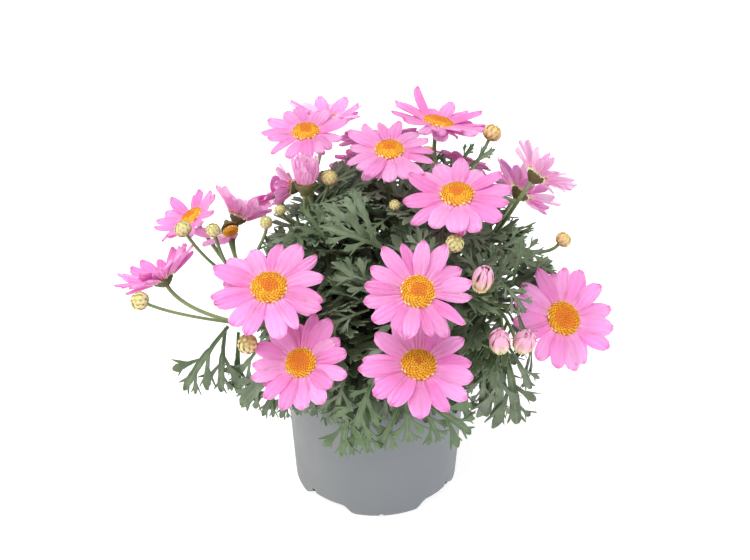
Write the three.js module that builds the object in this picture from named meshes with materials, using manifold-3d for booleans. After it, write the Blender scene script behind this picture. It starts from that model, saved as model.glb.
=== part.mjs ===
// Potted marguerite daisy: a bushy plant with pink daisies in a thin grey nursery pot.
// Millimetres, +Z up. The origin is the middle of the pot's base, on the surface it stands on.
// The side that faces the viewer looks along +Y, so the front of the plant is at -Y.
import * as THREE from 'three';
import { mergeVertices } from 'three/addons/utils/BufferGeometryUtils.js';
import Module from 'manifold-3d';

const wasm = await Module();
wasm.setup();

// Pot: a moulded sheet of plastic with four feet between raised channels
const POT_HEIGHT = 100;
const RIM_RADIUS = 60;
const BASE_RADIUS = 52.5;
const POT_WALL = 0.9;
const LIP_HEIGHT = 9;
const LIP_STEP = 1.6;
const BASE_EDGE = 2.5;
const CHANNEL_HEIGHT = 6.5;
const CHANNEL_COUNT = 4;
const CHANNEL_HALF_ANGLE = 15;
const CHANNEL_SLOPE_ANGLE = 5;
const CHANNEL_FIRST_ANGLE = -38;
const PAD_RADIUS = 15;
const CHANNEL_START_RADIUS = 20;
const DRAIN_RADIUS = 3;
const DRAIN_PLACE_RADIUS = 36;
const LIP_FLARE = 0.3;
const LIP_STEP_HEIGHT = 1;
const DRAIN_SIDES = 10;
const DRAIN_CUT_LENGTH = 26;
const POT_SIDES = 48;

// Soil and the woody base of the plant
const SOIL_TOP = 88;
const SOIL_GAP = 0.35;
const SOIL_WELL_RADIUS = 6.6;
const SOIL_WELL_DEPTH = 12;
const SOIL_SIDE_GAP = 0.3;
const SOIL_EDGE_DROP = 3;
const SOIL_MOUND_DROP = 1;
const SOIL_MOUND_RADIUS = 26.4;
const SOIL_SIDES = 32;
const TRUNK_RADIUS = 5.6;
const TRUNK_TIP_RADIUS = 2.8;
const TRUNK_TAPER = 3;
const TRUNK_SIDES = 10;
const CROWN_HEIGHT = 104;
const LIMB_LENGTH = 25;
const LIMB_RADIUS = 2.2;

// Shoots and stalks. A stalk sets off along its shoot and arrives along its flower's axis; the two
// shares say for how much of its reach it keeps to each direction.
const GAP = 0.3;
const SHOOT_RADIUS = 1.8;
const SHOOT_STEPS = 2;
const STALK_RADIUS = 1.25;
const STALK_SIDES = 5;
const STALK_STEPS = 5;
const STALK_SINK = 3.6;
const STALK_LEAVING_SHARE = 0.35;
const STALK_ARRIVING_SHARE = 0.3;
const BUD_STALK_RADIUS = 1.0625;
const BUD_STALK_STEPS = 4;
const SMOOTHING = 0.05;

// Leaves: the low ones lean far out, the high ones stand up and are shorter
const LEAF_THICKNESS = 1;
const LEAF_FOOT = 1;
const LEAF_CLEARANCE = 0.5;
const LEAF_TRIES = 9;
const LEAF_TURN = 40;
const LEAF_BEND = 35;
const LEAF_FIRST_SHARE = 0.6;
const LEAF_LOW_LEAN = 72;
const LEAF_LEAN_DROP = 34;
const LEAF_LENGTH_DROP = 0.25;
const GOLDEN_ANGLE = 137.5;
const SKIRT_START = 0.6;
const SKIRT_LEAN = 98;
const SKIRT_BEND = 66;
const SKIRT_LENGTH_SHARE = 1.3;
const SKIRT_TURNS = [0, 6, -6, 12, -12, 18, -18, 26, -26];

// Flower heads. The disc and the green cup are shares of the flower's radius.
const DISC_SHARE = 0.31;
const DISC_RISE = 0.42;
const DISC_SIDES = 10;
const HUB_MARGIN = 0.6;
const HUB_THICKNESS = 1.2;
const CALYX_SHARE = 0.26;
const CALYX_DEPTH = 8;
const CALYX_SIDES = 6;
const STALK_IN_CALYX = 0.75;

// Petals: the rows are shares of a petal's length; every third petal is a little shorter
const PETAL_KEEL = 0.9;
const PETAL_ROWS = [0.42, 0.84];
const PETAL_HALF_WIDTHS = [0.19, 0.1805];
const PETAL_ROOM = 0.92;
const SHORT_PETAL = 0.93;
const SHORT_PETAL_EVERY = 3;
const KEEL_START = 0.98;

// Buds: a green bud sinks onto its stalk, an opening one is held just clear of it
const GREEN_BUD_SEAT = 0.4;
const OPENING_BUD_SEAT = 0.8;
const GREEN_BUD_SIDES = 7;
const OPENING_BUD_SIDES = 9;

// Corners nearer to each other than this are one corner
const MERGE_DISTANCE = 1e-4;

// Each flower: its radius, its petals and the angle at which they rise out of a flat ring; then the
// middle of its petal ring, the compass direction it leans to (0 is +X, 90 is +Y) and its lean from
// upright.
const FLOWERS = [
  { name: 'top_left', shoot: 'upper_left', radius: 28, petals: 15, rise: 9,
    at: [-43, 30, 233], towards: -111, lean: 12 },
  { name: 'top_left_rear', shoot: 'upper_left', radius: 28, petals: 14, rise: 32,
    at: [-33, 98, 211], towards: 60, lean: 12 },
  { name: 'half_open', shoot: 'upper_left', radius: 20, petals: 12, rise: 72,
    at: [-42, -9, 219], towards: 60, lean: 8 },
  { name: 'half_open_rear', shoot: 'upper_left', radius: 18, petals: 11, rise: 52,
    at: [-53, 20, 200], towards: 178, lean: 82 },
  { name: 'top_centre', shoot: 'top', radius: 29, petals: 15, rise: 4,
    at: [8, 0, 235], towards: -90, lean: 13 },
  { name: 'top_rear', shoot: 'top', radius: 29, petals: 14, rise: 6,
    at: [0, 56, 218], towards: 95, lean: 38 },
  { name: 'top_right', shoot: 'upper_right', radius: 33, petals: 15, rise: 20,
    at: [39, 58, 226], towards: 30, lean: 13 },
  { name: 'upper_right', shoot: 'upper_right', radius: 33, petals: 14, rise: 7,
    at: [47, -35, 223], towards: -99, lean: 15 },
  { name: 'rear_right', shoot: 'rear_right', radius: 20, petals: 13, rise: 8,
    at: [56, 76, 192], towards: 60, lean: 40 },
  { name: 'far_right', shoot: 'rear_right', radius: 26, petals: 14, rise: 32,
    at: [99, 22, 208], towards: 42, lean: 55 },
  { name: 'far_right_rear', shoot: 'rear_right', radius: 27, petals: 14, rise: 28,
    at: [93, 54, 180], towards: 42, lean: 60 },
  { name: 'far_left', shoot: 'left', radius: 26, petals: 14, rise: 18,
    at: [-114, 15, 182], towards: -170, lean: 33 },
  { name: 'left_rear', shoot: 'left', radius: 25, petals: 14, rise: 50,
    at: [-86, 27, 177], towards: 56, lean: 38 },
  { name: 'faded', shoot: 'left', radius: 16, petals: 9, rise: -10,
    at: [-90, 8, 177], towards: -107, lean: 116 },
  { name: 'low_left', shoot: 'low_left', radius: 31, petals: 15, rise: 29,
    at: [-130, -21, 160], towards: 152, lean: 34 },
  { name: 'front_left', shoot: 'front_left', radius: 35, petals: 15, rise: 8,
    at: [-61, -75, 184], towards: -94, lean: 28 },
  { name: 'front_low_left', shoot: 'front_left', radius: 30, petals: 15, rise: 6,
    at: [-43, -95, 146], towards: -106, lean: 40 },
  { name: 'front_centre', shoot: 'front_right', radius: 32, petals: 16, rise: 5,
    at: [23, -100, 196], towards: -80, lean: 42 },
  { name: 'front_low', shoot: 'front_right', radius: 34, petals: 14, rise: 6,
    at: [24, -105, 151], towards: -79, lean: 26 },
  { name: 'right', shoot: 'right', radius: 36, petals: 15, rise: 7,
    at: [114, -30, 136], towards: -62, lean: 46 },
  { name: 'back', shoot: 'back', radius: 32, petals: 15, rise: 6,
    at: [-2, 118, 170], towards: 95, lean: 48 },
  { name: 'back_left', shoot: 'back', radius: 30, petals: 14, rise: 8,
    at: [-66, 92, 158], towards: 130, lean: 46 },
];

// Each bud on its stalk: the middle of the bud, its radius, and the way it points. Those with a
// name have coloured petals showing and are pieces of their own; the others are all green scales.
const BUDS = [
  { shoot: 'low_left', at: [-139, -54, 163], radius: 5.2, towards: -160, lean: 55 },
  { shoot: 'left', at: [-116, -15, 190], radius: 4.8, towards: 175, lean: 30 },
  { shoot: 'left', at: [-97, -24, 194], radius: 4, towards: -120, lean: 20 },
  { shoot: 'left', at: [-66, -14, 194], radius: 3.6, towards: -90, lean: 25 },
  { shoot: 'upper_left', at: [-28, -4, 219], radius: 4.4, towards: -60, lean: 12 },
  { shoot: 'upper_left', at: [-58, -4, 197], radius: 3.2, towards: -150, lean: 25 },
  { shoot: 'top', at: [11, -26, 212], radius: 3, towards: -90, lean: 20 },
  { shoot: 'front_right', at: [45, -62, 206], radius: 4.8, towards: -60, lean: 30 },
  { shoot: 'rear_right', at: [114, -8, 179], radius: 4.4, towards: 10, lean: 40 },
  { shoot: 'upper_right', at: [72, 40, 228], radius: 5.2, towards: 20, lean: 25 },
  { shoot: 'front_left', at: [-74, -84, 152], radius: 5.4, towards: -120, lean: 30 },
  { shoot: 'back', at: [34, 92, 190], radius: 4.4, towards: 80, lean: 35 },
  { name: 'bud_opening_upper', shoot: 'right', at: [61, -70, 187], radius: 6.4, towards: -40, lean: 15 },
  { name: 'bud_opening_inner', shoot: 'right', at: [72, -76, 149], radius: 7, towards: -100, lean: 25 },
  { name: 'bud_opening_outer', shoot: 'right', at: [87, -70, 145], radius: 7, towards: -70, lean: 30 },
];

// Each shoot: the fork where its flower stalks part, its leaves along the way, and the compass
// directions of the long leaves at its foot that arch over the rim of the pot.
const SHOOTS = [
  { name: 'front_left', fork: [-44, -45, 144], leaves: 4, leafLength: 60, skirt: [-105, -128] },
  { name: 'front_right', fork: [20, -45, 151], leaves: 4, leafLength: 60, skirt: [-70, -88] },
  { name: 'right', fork: [70, -25, 143], leaves: 5, leafLength: 60, skirt: [-28, -8] },
  { name: 'upper_right', fork: [36, 0, 178], leaves: 5, leafLength: 56, skirt: [] },
  { name: 'rear_right', fork: [66, 25, 153], leaves: 5, leafLength: 60, skirt: [14, 40] },
  { name: 'top', fork: [6, 15, 177], leaves: 5, leafLength: 54, skirt: [] },
  { name: 'upper_left', fork: [-35, 15, 170], leaves: 5, leafLength: 56, skirt: [] },
  { name: 'left', fork: [-76, 5, 136], leaves: 4, leafLength: 60, skirt: [165, 186] },
  { name: 'low_left', fork: [-74, -30, 131], leaves: 4, leafLength: 58, skirt: [-150, 206] },
  { name: 'back', fork: [0, 55, 158], leaves: 5, leafLength: 60, skirt: [72, 96, 124] },
];

const radians = THREE.MathUtils.degToRad;

// Unit vector that leans away from upright by lean degrees towards a compass direction
function leaning(towards, lean) {
  const flat = Math.sin(radians(lean));
  return new THREE.Vector3(
    flat * Math.cos(radians(towards)),
    flat * Math.sin(radians(towards)),
    Math.cos(radians(lean)),
  );
}

// Turns local +Z to the given direction and moves the local origin to the given point
function placeAlong(geometry, point, direction) {
  const turn = new THREE.Quaternion().setFromUnitVectors(new THREE.Vector3(0, 0, 1), direction);
  geometry.applyQuaternion(turn);
  geometry.translate(point.x, point.y, point.z);
  return geometry;
}

// A closed mesh as a solid that can be joined and cut
function toSolid(geometry) {
  const bare = geometry.clone();
  bare.deleteAttribute('normal');
  bare.deleteAttribute('uv');
  const merged = mergeVertices(bare, MERGE_DISTANCE);
  return new wasm.Manifold(new wasm.Mesh({
    numProp: 3,
    vertProperties: new Float32Array(merged.attributes.position.array),
    triVerts: new Uint32Array(merged.index.array),
  }));
}

function toGeometry(solid) {
  const data = solid.getMesh();
  const geometry = new THREE.BufferGeometry();
  geometry.setAttribute('position', new THREE.BufferAttribute(data.vertProperties, 3));
  geometry.setIndex(new THREE.BufferAttribute(data.triVerts, 1));
  geometry.computeVertexNormals();
  return geometry;
}

function geometryFrom(points, triangles) {
  const geometry = new THREE.BufferGeometry();
  const flat = points.flatMap((p) => [p.x, p.y, p.z]);
  geometry.setAttribute('position', new THREE.BufferAttribute(new Float32Array(flat), 3));
  geometry.setIndex(triangles);
  return geometry;
}

// Materials
function plain(colour, roughness) {
  return new THREE.MeshStandardMaterial({ color: colour, roughness, metalness: 0 });
}
const potMaterial = () => plain(0x939a9e, 0.55);
const soilMaterial = () => plain(0x33261c, 0.95);
const woodMaterial = () => plain(0x7b6a4b, 0.8);
const leafMaterial = () => plain(0x5c7a56, 0.6);
const petalMaterial = () => plain(0xf79ddc, 0.6);
const discMaterial = () => plain(0xf2a01f, 0.75);
const budMaterial = () => plain(0xf0b6c4, 0.65);

// How far the base is raised at a place, from 0 on the feet to 1 in a channel
function channelShare(angle, radius) {
  const pitch = 360 / CHANNEL_COUNT;
  const turned = angle - CHANNEL_FIRST_ANGLE;
  const away = Math.abs(turned - pitch * Math.round(turned / pitch));
  const across = 1 - THREE.MathUtils.clamp((away - CHANNEL_HALF_ANGLE) / CHANNEL_SLOPE_ANGLE, 0, 1);
  const along = (radius - PAD_RADIUS) / (CHANNEL_START_RADIUS - PAD_RADIUS);
  return across * THREE.MathUtils.clamp(along, 0, 1);
}

// Radius of the outside of the tapered wall at a height
function wallRadius(height) {
  return BASE_RADIUS + (RIM_RADIUS - LIP_STEP - BASE_RADIUS) * height / (POT_HEIGHT - LIP_HEIGHT);
}

// The pot's section from the middle of the base outside, over the rim, to the middle inside
function potSection() {
  const lipFoot = POT_HEIGHT - LIP_HEIGHT;
  const outside = [
    [PAD_RADIUS, 0],
    [CHANNEL_START_RADIUS, 0],
    [BASE_RADIUS - BASE_EDGE, 0],
    [BASE_RADIUS, BASE_EDGE],
    [wallRadius(CHANNEL_HEIGHT + BASE_EDGE), CHANNEL_HEIGHT + BASE_EDGE],
    [wallRadius(lipFoot), lipFoot],
    [RIM_RADIUS - LIP_FLARE, lipFoot + LIP_STEP_HEIGHT],
    [RIM_RADIUS, POT_HEIGHT],
  ];
  const inside = outside.map(([r, z]) => (z > 0 ? [r - POT_WALL, z] : [r, z + POT_WALL])).reverse();
  inside[0] = [RIM_RADIUS - POT_WALL, POT_HEIGHT];
  return [...outside, ...inside];
}

// The pot is one moulded sheet: the same section all round, lifted where the channels run
function potGeometry() {
  const section = potSection();
  const points = [new THREE.Vector3(0, 0, 0), new THREE.Vector3(0, 0, POT_WALL)];
  for (let side = 0; side < POT_SIDES; side += 1) {
    const angle = 360 * side / POT_SIDES;
    for (const [radius, height] of section) {
      const room = Math.max(0, 1 - height / (CHANNEL_HEIGHT + BASE_EDGE));
      const lift = CHANNEL_HEIGHT * channelShare(angle, radius) * room;
      const x = radius * Math.cos(radians(angle));
      const y = radius * Math.sin(radians(angle));
      points.push(new THREE.Vector3(x, y, height + lift));
    }
  }
  const rows = section.length;
  const at = (side, row) => 2 + (side % POT_SIDES) * rows + row;
  const triangles = [];
  for (let side = 0; side < POT_SIDES; side += 1) {
    triangles.push(0, at(side + 1, 0), at(side, 0));
    triangles.push(1, at(side, rows - 1), at(side + 1, rows - 1));
    for (let row = 0; row < rows - 1; row += 1) {
      triangles.push(at(side, row), at(side + 1, row), at(side + 1, row + 1));
      triangles.push(at(side, row), at(side + 1, row + 1), at(side, row + 1));
    }
  }
  return geometryFrom(points, triangles);
}

// A drain hole goes through the roof of each channel
function pot() {
  let solid = toSolid(potGeometry());
  for (let i = 0; i < CHANNEL_COUNT; i += 1) {
    const angle = radians(CHANNEL_FIRST_ANGLE + 360 * i / CHANNEL_COUNT);
    const hole = new THREE.CylinderGeometry(DRAIN_RADIUS, DRAIN_RADIUS, DRAIN_CUT_LENGTH, DRAIN_SIDES);
    hole.rotateX(Math.PI / 2);
    hole.translate(DRAIN_PLACE_RADIUS * Math.cos(angle), DRAIN_PLACE_RADIUS * Math.sin(angle), 0);
    solid = solid.subtract(toSolid(hole));
  }
  return solid;
}

// Soil fills the pot above its channels, with a well for the woody stem
function soil() {
  const gap = POT_WALL + SOIL_GAP;
  const floor = CHANNEL_HEIGHT + gap;
  const wellFloor = SOIL_TOP - SOIL_WELL_DEPTH;
  const edge = SOIL_TOP - SOIL_EDGE_DROP;
  const profile = [
    [0, floor],
    [BASE_RADIUS - BASE_EDGE - gap, floor],
    [wallRadius(floor + BASE_EDGE) - gap - SOIL_SIDE_GAP, floor + BASE_EDGE],
    [wallRadius(edge) - gap - SOIL_SIDE_GAP, edge],
    [SOIL_MOUND_RADIUS, SOIL_TOP - SOIL_MOUND_DROP],
    [SOIL_WELL_RADIUS, SOIL_TOP],
    [SOIL_WELL_RADIUS, wellFloor],
    [0, wellFloor],
  ].map(([r, z]) => new THREE.Vector2(r, z));
  const geometry = new THREE.LatheGeometry(profile, SOIL_SIDES);
  geometry.rotateX(Math.PI / 2);
  return toSolid(geometry);
}

// A round bar along a curve
function bar(curve, radius, steps) {
  const section = new THREE.Shape();
  for (let i = 0; i < STALK_SIDES; i += 1) {
    const angle = 2 * Math.PI * i / STALK_SIDES;
    const x = radius * Math.cos(angle);
    const y = radius * Math.sin(angle);
    if (i === 0) section.moveTo(x, y);
    else section.lineTo(x, y);
  }
  section.closePath();
  const along = { steps, extrudePath: curve, bevelEnabled: false };
  return toSolid(new THREE.ExtrudeGeometry(section, along));
}

// The limb of a shoot runs from the crown towards the shoot's fork
const crownPoint = new THREE.Vector3(0, 0, CROWN_HEIGHT - TRUNK_RADIUS);
function limbDirection(shoot) {
  return new THREE.Vector3(...shoot.fork).sub(crownPoint).normalize();
}
function limbEnd(shoot) {
  return crownPoint.clone().addScaledVector(limbDirection(shoot), LIMB_LENGTH);
}

// The woody stem stands in the soil and carries one short limb for each shoot
function woodyStem() {
  const foot = SOIL_TOP - SOIL_WELL_DEPTH + SOIL_GAP;
  const profile = [
    [0, foot],
    [TRUNK_RADIUS, foot],
    [TRUNK_RADIUS, CROWN_HEIGHT - TRUNK_TAPER],
    [TRUNK_TIP_RADIUS, CROWN_HEIGHT],
    [0, CROWN_HEIGHT],
  ].map(([r, z]) => new THREE.Vector2(r, z));
  const trunk = new THREE.LatheGeometry(profile, TRUNK_SIDES);
  trunk.rotateX(Math.PI / 2);
  const limbs = SHOOTS.map((shoot) => bar(
    new THREE.LineCurve3(crownPoint, limbEnd(shoot)), LIMB_RADIUS, 1,
  ));
  return wasm.Manifold.union([toSolid(trunk), ...limbs]);
}

// Main axis of a shoot, from just clear of its limb to its fork
function shootCurve(shoot) {
  const away = limbDirection(shoot);
  const start = limbEnd(shoot).addScaledVector(away, GAP);
  const fork = new THREE.Vector3(...shoot.fork);
  return new THREE.LineCurve3(start, fork);
}

// A stalk leaves the fork along the shoot and arrives from below at the head it carries
function stalkCurve(shoot, end, facing) {
  const fork = new THREE.Vector3(...shoot.fork);
  const start = fork.clone().addScaledVector(limbDirection(shoot), -STALK_SINK);
  const reach = start.distanceTo(end);
  const first = start.clone().addScaledVector(limbDirection(shoot), reach * STALK_LEAVING_SHARE);
  const last = end.clone().addScaledVector(facing, -reach * STALK_ARRIVING_SHARE);
  return new THREE.CubicBezierCurve3(start, first, last, end);
}

// Section of the green cup under a flower, as shares of its radius and its depth
const CALYX_SECTION = [
  [0, -1],
  [0.2, -1],
  [0.75, -0.45],
  [1, 0],
  [0, 0],
];

function calyx(flower) {
  const radius = flower.radius * CALYX_SHARE;
  const profile = CALYX_SECTION.map(([r, z]) => new THREE.Vector2(r * radius, z * CALYX_DEPTH));
  return new THREE.LatheGeometry(profile, CALYX_SIDES).rotateX(Math.PI / 2);
}

function flowerStalk(shoot, flower) {
  const facing = leaning(flower.towards, flower.lean);
  const below = HUB_THICKNESS + PETAL_KEEL + GAP;
  const top = new THREE.Vector3(...flower.at).addScaledVector(facing, -below);
  const stalkEnd = top.clone().addScaledVector(facing, -CALYX_DEPTH * STALK_IN_CALYX);
  const stalk = bar(stalkCurve(shoot, stalkEnd, facing), STALK_RADIUS, STALK_STEPS);
  return stalk.add(toSolid(placeAlong(calyx(flower), top, facing)));
}

// Section of a bud, a small ball of scales, as shares of its radius
const BUD_SECTION = [
  [0, -0.8],
  [0.62, -0.7],
  [1, 0],
  [0.62, 0.75],
  [0, 0.95],
];

function budBall(bud, sides) {
  const profile = BUD_SECTION.map(([r, z]) => new THREE.Vector2(r * bud.radius, z * bud.radius));
  const ball = new THREE.LatheGeometry(profile, sides).rotateX(Math.PI / 2);
  return placeAlong(ball, new THREE.Vector3(...bud.at), leaning(bud.towards, bud.lean));
}

// A green bud is one with its stalk; an opening bud keeps a gap to the end of its stalk
function budStalk(shoot, bud) {
  const facing = leaning(bud.towards, bud.lean);
  const seat = bud.name ? bud.radius * OPENING_BUD_SEAT + GAP : bud.radius * GREEN_BUD_SEAT;
  const end = new THREE.Vector3(...bud.at).addScaledVector(facing, -seat);
  const stalk = bar(stalkCurve(shoot, end, facing), BUD_STALK_RADIUS, BUD_STALK_STEPS);
  return bud.name ? stalk : stalk.add(toSolid(budBall(bud, GREEN_BUD_SIDES)));
}

// Half of a leaf's outline as shares of its length: lobes that point forwards from the midrib
const LEAF_HALF_OUTLINE = [
  [0.34, 0.03],
  [0.56, 0.2],
  [0.56, 0.05],
  [0.84, 0.18],
  [0.8, 0.05],
];

// A lobed leaf along +X in its own frame, arched down by the bend angle
function leafGeometry(length, bend, thickness) {
  const outline = new THREE.Shape();
  outline.moveTo(-LEAF_FOOT, 0);
  const right = LEAF_HALF_OUTLINE.map(([s, w]) => [s * length, -w * length]);
  const left = LEAF_HALF_OUTLINE.map(([s, w]) => [s * length, w * length]).reverse();
  right.forEach(([x, y]) => outline.lineTo(x, y));
  outline.lineTo(length, 0);
  left.forEach(([x, y]) => outline.lineTo(x, y));
  const flat = { depth: thickness, bevelEnabled: false, steps: 1 };
  const leaf = new THREE.ExtrudeGeometry(outline, flat);
  leaf.translate(0, 0, -thickness / 2);
  const bow = radians(bend) / length;
  const place = leaf.attributes.position;
  for (let i = 0; i < place.count; i += 1) {
    const angle = bow * place.getX(i);
    const lift = place.getZ(i);
    const x = Math.sin(angle) / bow + lift * Math.sin(angle);
    const z = (Math.cos(angle) - 1) / bow + lift * Math.cos(angle);
    place.setXYZ(i, x, place.getY(i), z);
  }
  return leaf;
}

// Sets a leaf's foot at a point, with its midrib along a direction and its face up
function leafAt(point, direction, length, bend, thickness) {
  const side = new THREE.Vector3(0, 0, 1).cross(direction).normalize();
  const face = direction.clone().cross(side);
  const frame = new THREE.Matrix4().makeBasis(direction, side, face).setPosition(point);
  return toSolid(leafGeometry(length, bend, thickness).applyMatrix4(frame));
}

// True if a solid keeps the clearance to every piece made so far
function isClear(solid, pieces, clearance) {
  return pieces.every((piece) => piece.minGap(solid, 2 * clearance) >= clearance);
}

// Tries a leaf at turned directions until it is clear of its neighbours, or gives none
function fittedLeaf(point, directions, length, bend, pieces) {
  for (const direction of directions) {
    const leaf = leafAt(point, direction, length, bend, LEAF_THICKNESS);
    if (isClear(leaf, pieces, LEAF_CLEARANCE)) return leaf;
  }
  return null;
}

// Leaves stand round the shoot at the golden angle, more upright the higher they sit
function shootLeaves(shoot, pieces) {
  const curve = shootCurve(shoot);
  const leaves = [];
  for (let i = 0; i < shoot.leaves; i += 1) {
    const share = (i + LEAF_FIRST_SHARE) / shoot.leaves;
    const point = curve.getPoint(Math.min(share, 1));
    const lean = LEAF_LOW_LEAN - LEAF_LEAN_DROP * share;
    const directions = [];
    for (let turn = 0; turn < LEAF_TRIES; turn += 1) {
      directions.push(leaning(GOLDEN_ANGLE * i + shoot.fork[0] + LEAF_TURN * turn, lean));
    }
    const length = shoot.leafLength * (1 - LEAF_LENGTH_DROP * share);
    const leaf = fittedLeaf(point, directions, length, LEAF_BEND, pieces);
    if (leaf) leaves.push(leaf);
  }
  return leaves;
}

// Long leaves at the foot of a shoot arch over the rim and hang beside the pot
function skirtLeaves(shoot, pieces) {
  const point = shootCurve(shoot).getPoint(SKIRT_START);
  const leaves = [];
  for (const towards of shoot.skirt) {
    const directions = SKIRT_TURNS.map((turn) => leaning(towards + turn, SKIRT_LEAN));
    const length = shoot.leafLength * SKIRT_LENGTH_SHARE;
    const leaf = fittedLeaf(point, directions, length, SKIRT_BEND, pieces);
    if (leaf) leaves.push(leaf);
  }
  return leaves;
}

// A shoot is grown as one piece: its axis, stalks, green cups, green buds and leaves
function shootStalks(shoot) {
  const axis = bar(shootCurve(shoot), SHOOT_RADIUS, SHOOT_STEPS);
  const flowers = FLOWERS.filter((flower) => flower.shoot === shoot.name);
  const buds = BUDS.filter((bud) => bud.shoot === shoot.name);
  return wasm.Manifold.union([
    axis,
    ...flowers.map((flower) => flowerStalk(shoot, flower)),
    ...buds.map((bud) => budStalk(shoot, bud)),
  ]);
}

// One closed ring of petals on a thin hub: every petal is a blade with a keel below
function petalRing(flower) {
  const count = flower.petals;
  const hub = flower.radius * DISC_SHARE + HUB_MARGIN;
  const reach = flower.radius - hub;
  const points = [new THREE.Vector3(0, 0, 0), new THREE.Vector3(0, 0, -HUB_THICKNESS)];
  const triangles = [];
  const polar = (radius, angle, z) => points.push(
    new THREE.Vector3(radius * Math.cos(angle), radius * Math.sin(angle), z),
  ) - 1;
  const sector = 2 * Math.PI / count;
  const rises = (share) => reach * share * Math.sin(radians(flower.rise));
  const radiusAt = (share) => hub + reach * share * Math.cos(radians(flower.rise));
  const notches = [];
  for (let i = 0; i < count; i += 1) notches.push(polar(hub, sector * (i - 0.5), 0));
  for (let i = 0; i < count; i += 1) {
    const angle = sector * i;
    const left = notches[i];
    const right = notches[(i + 1) % count];
    const keel = polar(hub * KEEL_START, angle, -HUB_THICKNESS);
    const length = i % SHORT_PETAL_EVERY === 1 ? SHORT_PETAL : 1;
    const rows = [[left, right, keel]];
    for (let row = 0; row < PETAL_ROWS.length; row += 1) {
      const share = PETAL_ROWS[row];
      const radius = radiusAt(share * length);
      const room = radius * Math.tan(sector / 2) * PETAL_ROOM;
      const half = Math.min(reach * PETAL_HALF_WIDTHS[row], room) / radius;
      const z = rises(share * length);
      rows.push([
        polar(radius, angle - half, z),
        polar(radius, angle + half, z),
        polar(radius, angle, z - PETAL_KEEL),
      ]);
    }
    const tip = polar(radiusAt(length), angle, rises(length) - PETAL_KEEL / 2);
    triangles.push(0, left, right, 1, keel, left, 1, right, keel);
    for (let row = 0; row < PETAL_ROWS.length; row += 1) {
      const [a, b, c] = rows[row];
      const [d, e, f] = rows[row + 1];
      triangles.push(a, d, e, a, e, b, b, e, f, b, f, c, c, f, d, c, d, a);
    }
    const [a, b, c] = rows[PETAL_ROWS.length];
    triangles.push(a, tip, b, b, tip, c, c, tip, a);
  }
  const ring = geometryFrom(points, triangles);
  return placeAlong(ring, new THREE.Vector3(...flower.at), leaning(flower.towards, flower.lean));
}

// Section of the disc of small yellow florets, a low dome: shares of its radius and of its height
const DISC_SECTION = [
  [0, 0],
  [0.96, 0],
  [1, 0.24],
  [0.72, 0.82],
  [0, 1],
];

function disc(flower) {
  const radius = flower.radius * DISC_SHARE;
  const height = radius * DISC_RISE;
  const profile = DISC_SECTION.map(([r, z]) => new THREE.Vector2(r * radius, GAP + z * height));
  const dome = new THREE.LatheGeometry(profile, DISC_SIDES).rotateX(Math.PI / 2);
  return placeAlong(dome, new THREE.Vector3(...flower.at), leaning(flower.towards, flower.lean));
}

const plant = new THREE.Group();
const made = [];
function addPiece(name, solid, material) {
  const mesh = new THREE.Mesh(toGeometry(solid), material);
  mesh.name = name;
  plant.add(mesh);
  made.push(solid);
}

addPiece('pot', pot(), potMaterial());
addPiece('potting_soil', soil(), soilMaterial());
addPiece('woody_stem', woodyStem(), woodMaterial());
for (const flower of FLOWERS) {
  addPiece(`petals_${flower.name}`, toSolid(petalRing(flower)), petalMaterial());
  addPiece(`disc_${flower.name}`, toSolid(disc(flower)), discMaterial());
}
for (const bud of BUDS.filter((one) => one.name)) {
  addPiece(bud.name, toSolid(budBall(bud, OPENING_BUD_SIDES)), budMaterial());
}

// Leaves go on after all the stalks, so that each leaf finds the room that is left
const stalks = SHOOTS.map(shootStalks);
const leafy = SHOOTS.map(() => []);
SHOOTS.forEach((shoot, index) => {
  const others = () => stalks.filter((_, i) => i !== index)
    .concat(leafy.filter((_, i) => i !== index).flat());
  leafy[index].push(...skirtLeaves(shoot, [...made, ...others()]));
  leafy[index].push(...shootLeaves(shoot, [...made, ...others()]));
});
SHOOTS.forEach((shoot, index) => {
  const grown = wasm.Manifold.union([stalks[index], ...leafy[index]]).simplify(SMOOTHING);
  addPiece(`shoot_${shoot.name}`, grown, leafMaterial());
});

export default plant;
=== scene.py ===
import math
import random

import bmesh
import bpy
from mathutils import Matrix, Vector


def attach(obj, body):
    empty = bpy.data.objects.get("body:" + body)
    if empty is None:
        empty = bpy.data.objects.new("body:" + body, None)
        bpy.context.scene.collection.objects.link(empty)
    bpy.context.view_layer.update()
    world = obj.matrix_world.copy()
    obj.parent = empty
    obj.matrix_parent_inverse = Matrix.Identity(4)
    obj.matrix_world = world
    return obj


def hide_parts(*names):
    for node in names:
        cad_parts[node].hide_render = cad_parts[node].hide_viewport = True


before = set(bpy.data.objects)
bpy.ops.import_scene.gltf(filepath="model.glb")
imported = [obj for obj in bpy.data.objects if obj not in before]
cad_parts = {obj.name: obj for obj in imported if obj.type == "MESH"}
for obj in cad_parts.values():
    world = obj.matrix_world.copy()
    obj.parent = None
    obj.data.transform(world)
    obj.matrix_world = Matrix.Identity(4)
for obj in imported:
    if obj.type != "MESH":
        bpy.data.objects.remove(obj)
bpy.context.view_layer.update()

# The view: the pot is seen from a metre away and thirty degrees above, straight from its front.
# The camera keeps its level, so the pot stands upright in the picture.
VIEW_PLACE = (-0.0006, -0.866, 0.646)
VIEW_HEIGHT_ANGLE = 30
VIEW_LENS = 77.04

camera = bpy.data.objects.new("camera", bpy.data.cameras.new("camera"))
bpy.context.scene.collection.objects.link(camera)
camera.data.lens = VIEW_LENS
camera.data.sensor_width = 36
camera.location = VIEW_PLACE
camera.rotation_euler = (math.radians(90 - VIEW_HEIGHT_ANGLE), 0, 0)
bpy.context.scene.camera = camera
bpy.context.scene.view_settings.view_transform = "Standard"

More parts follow.
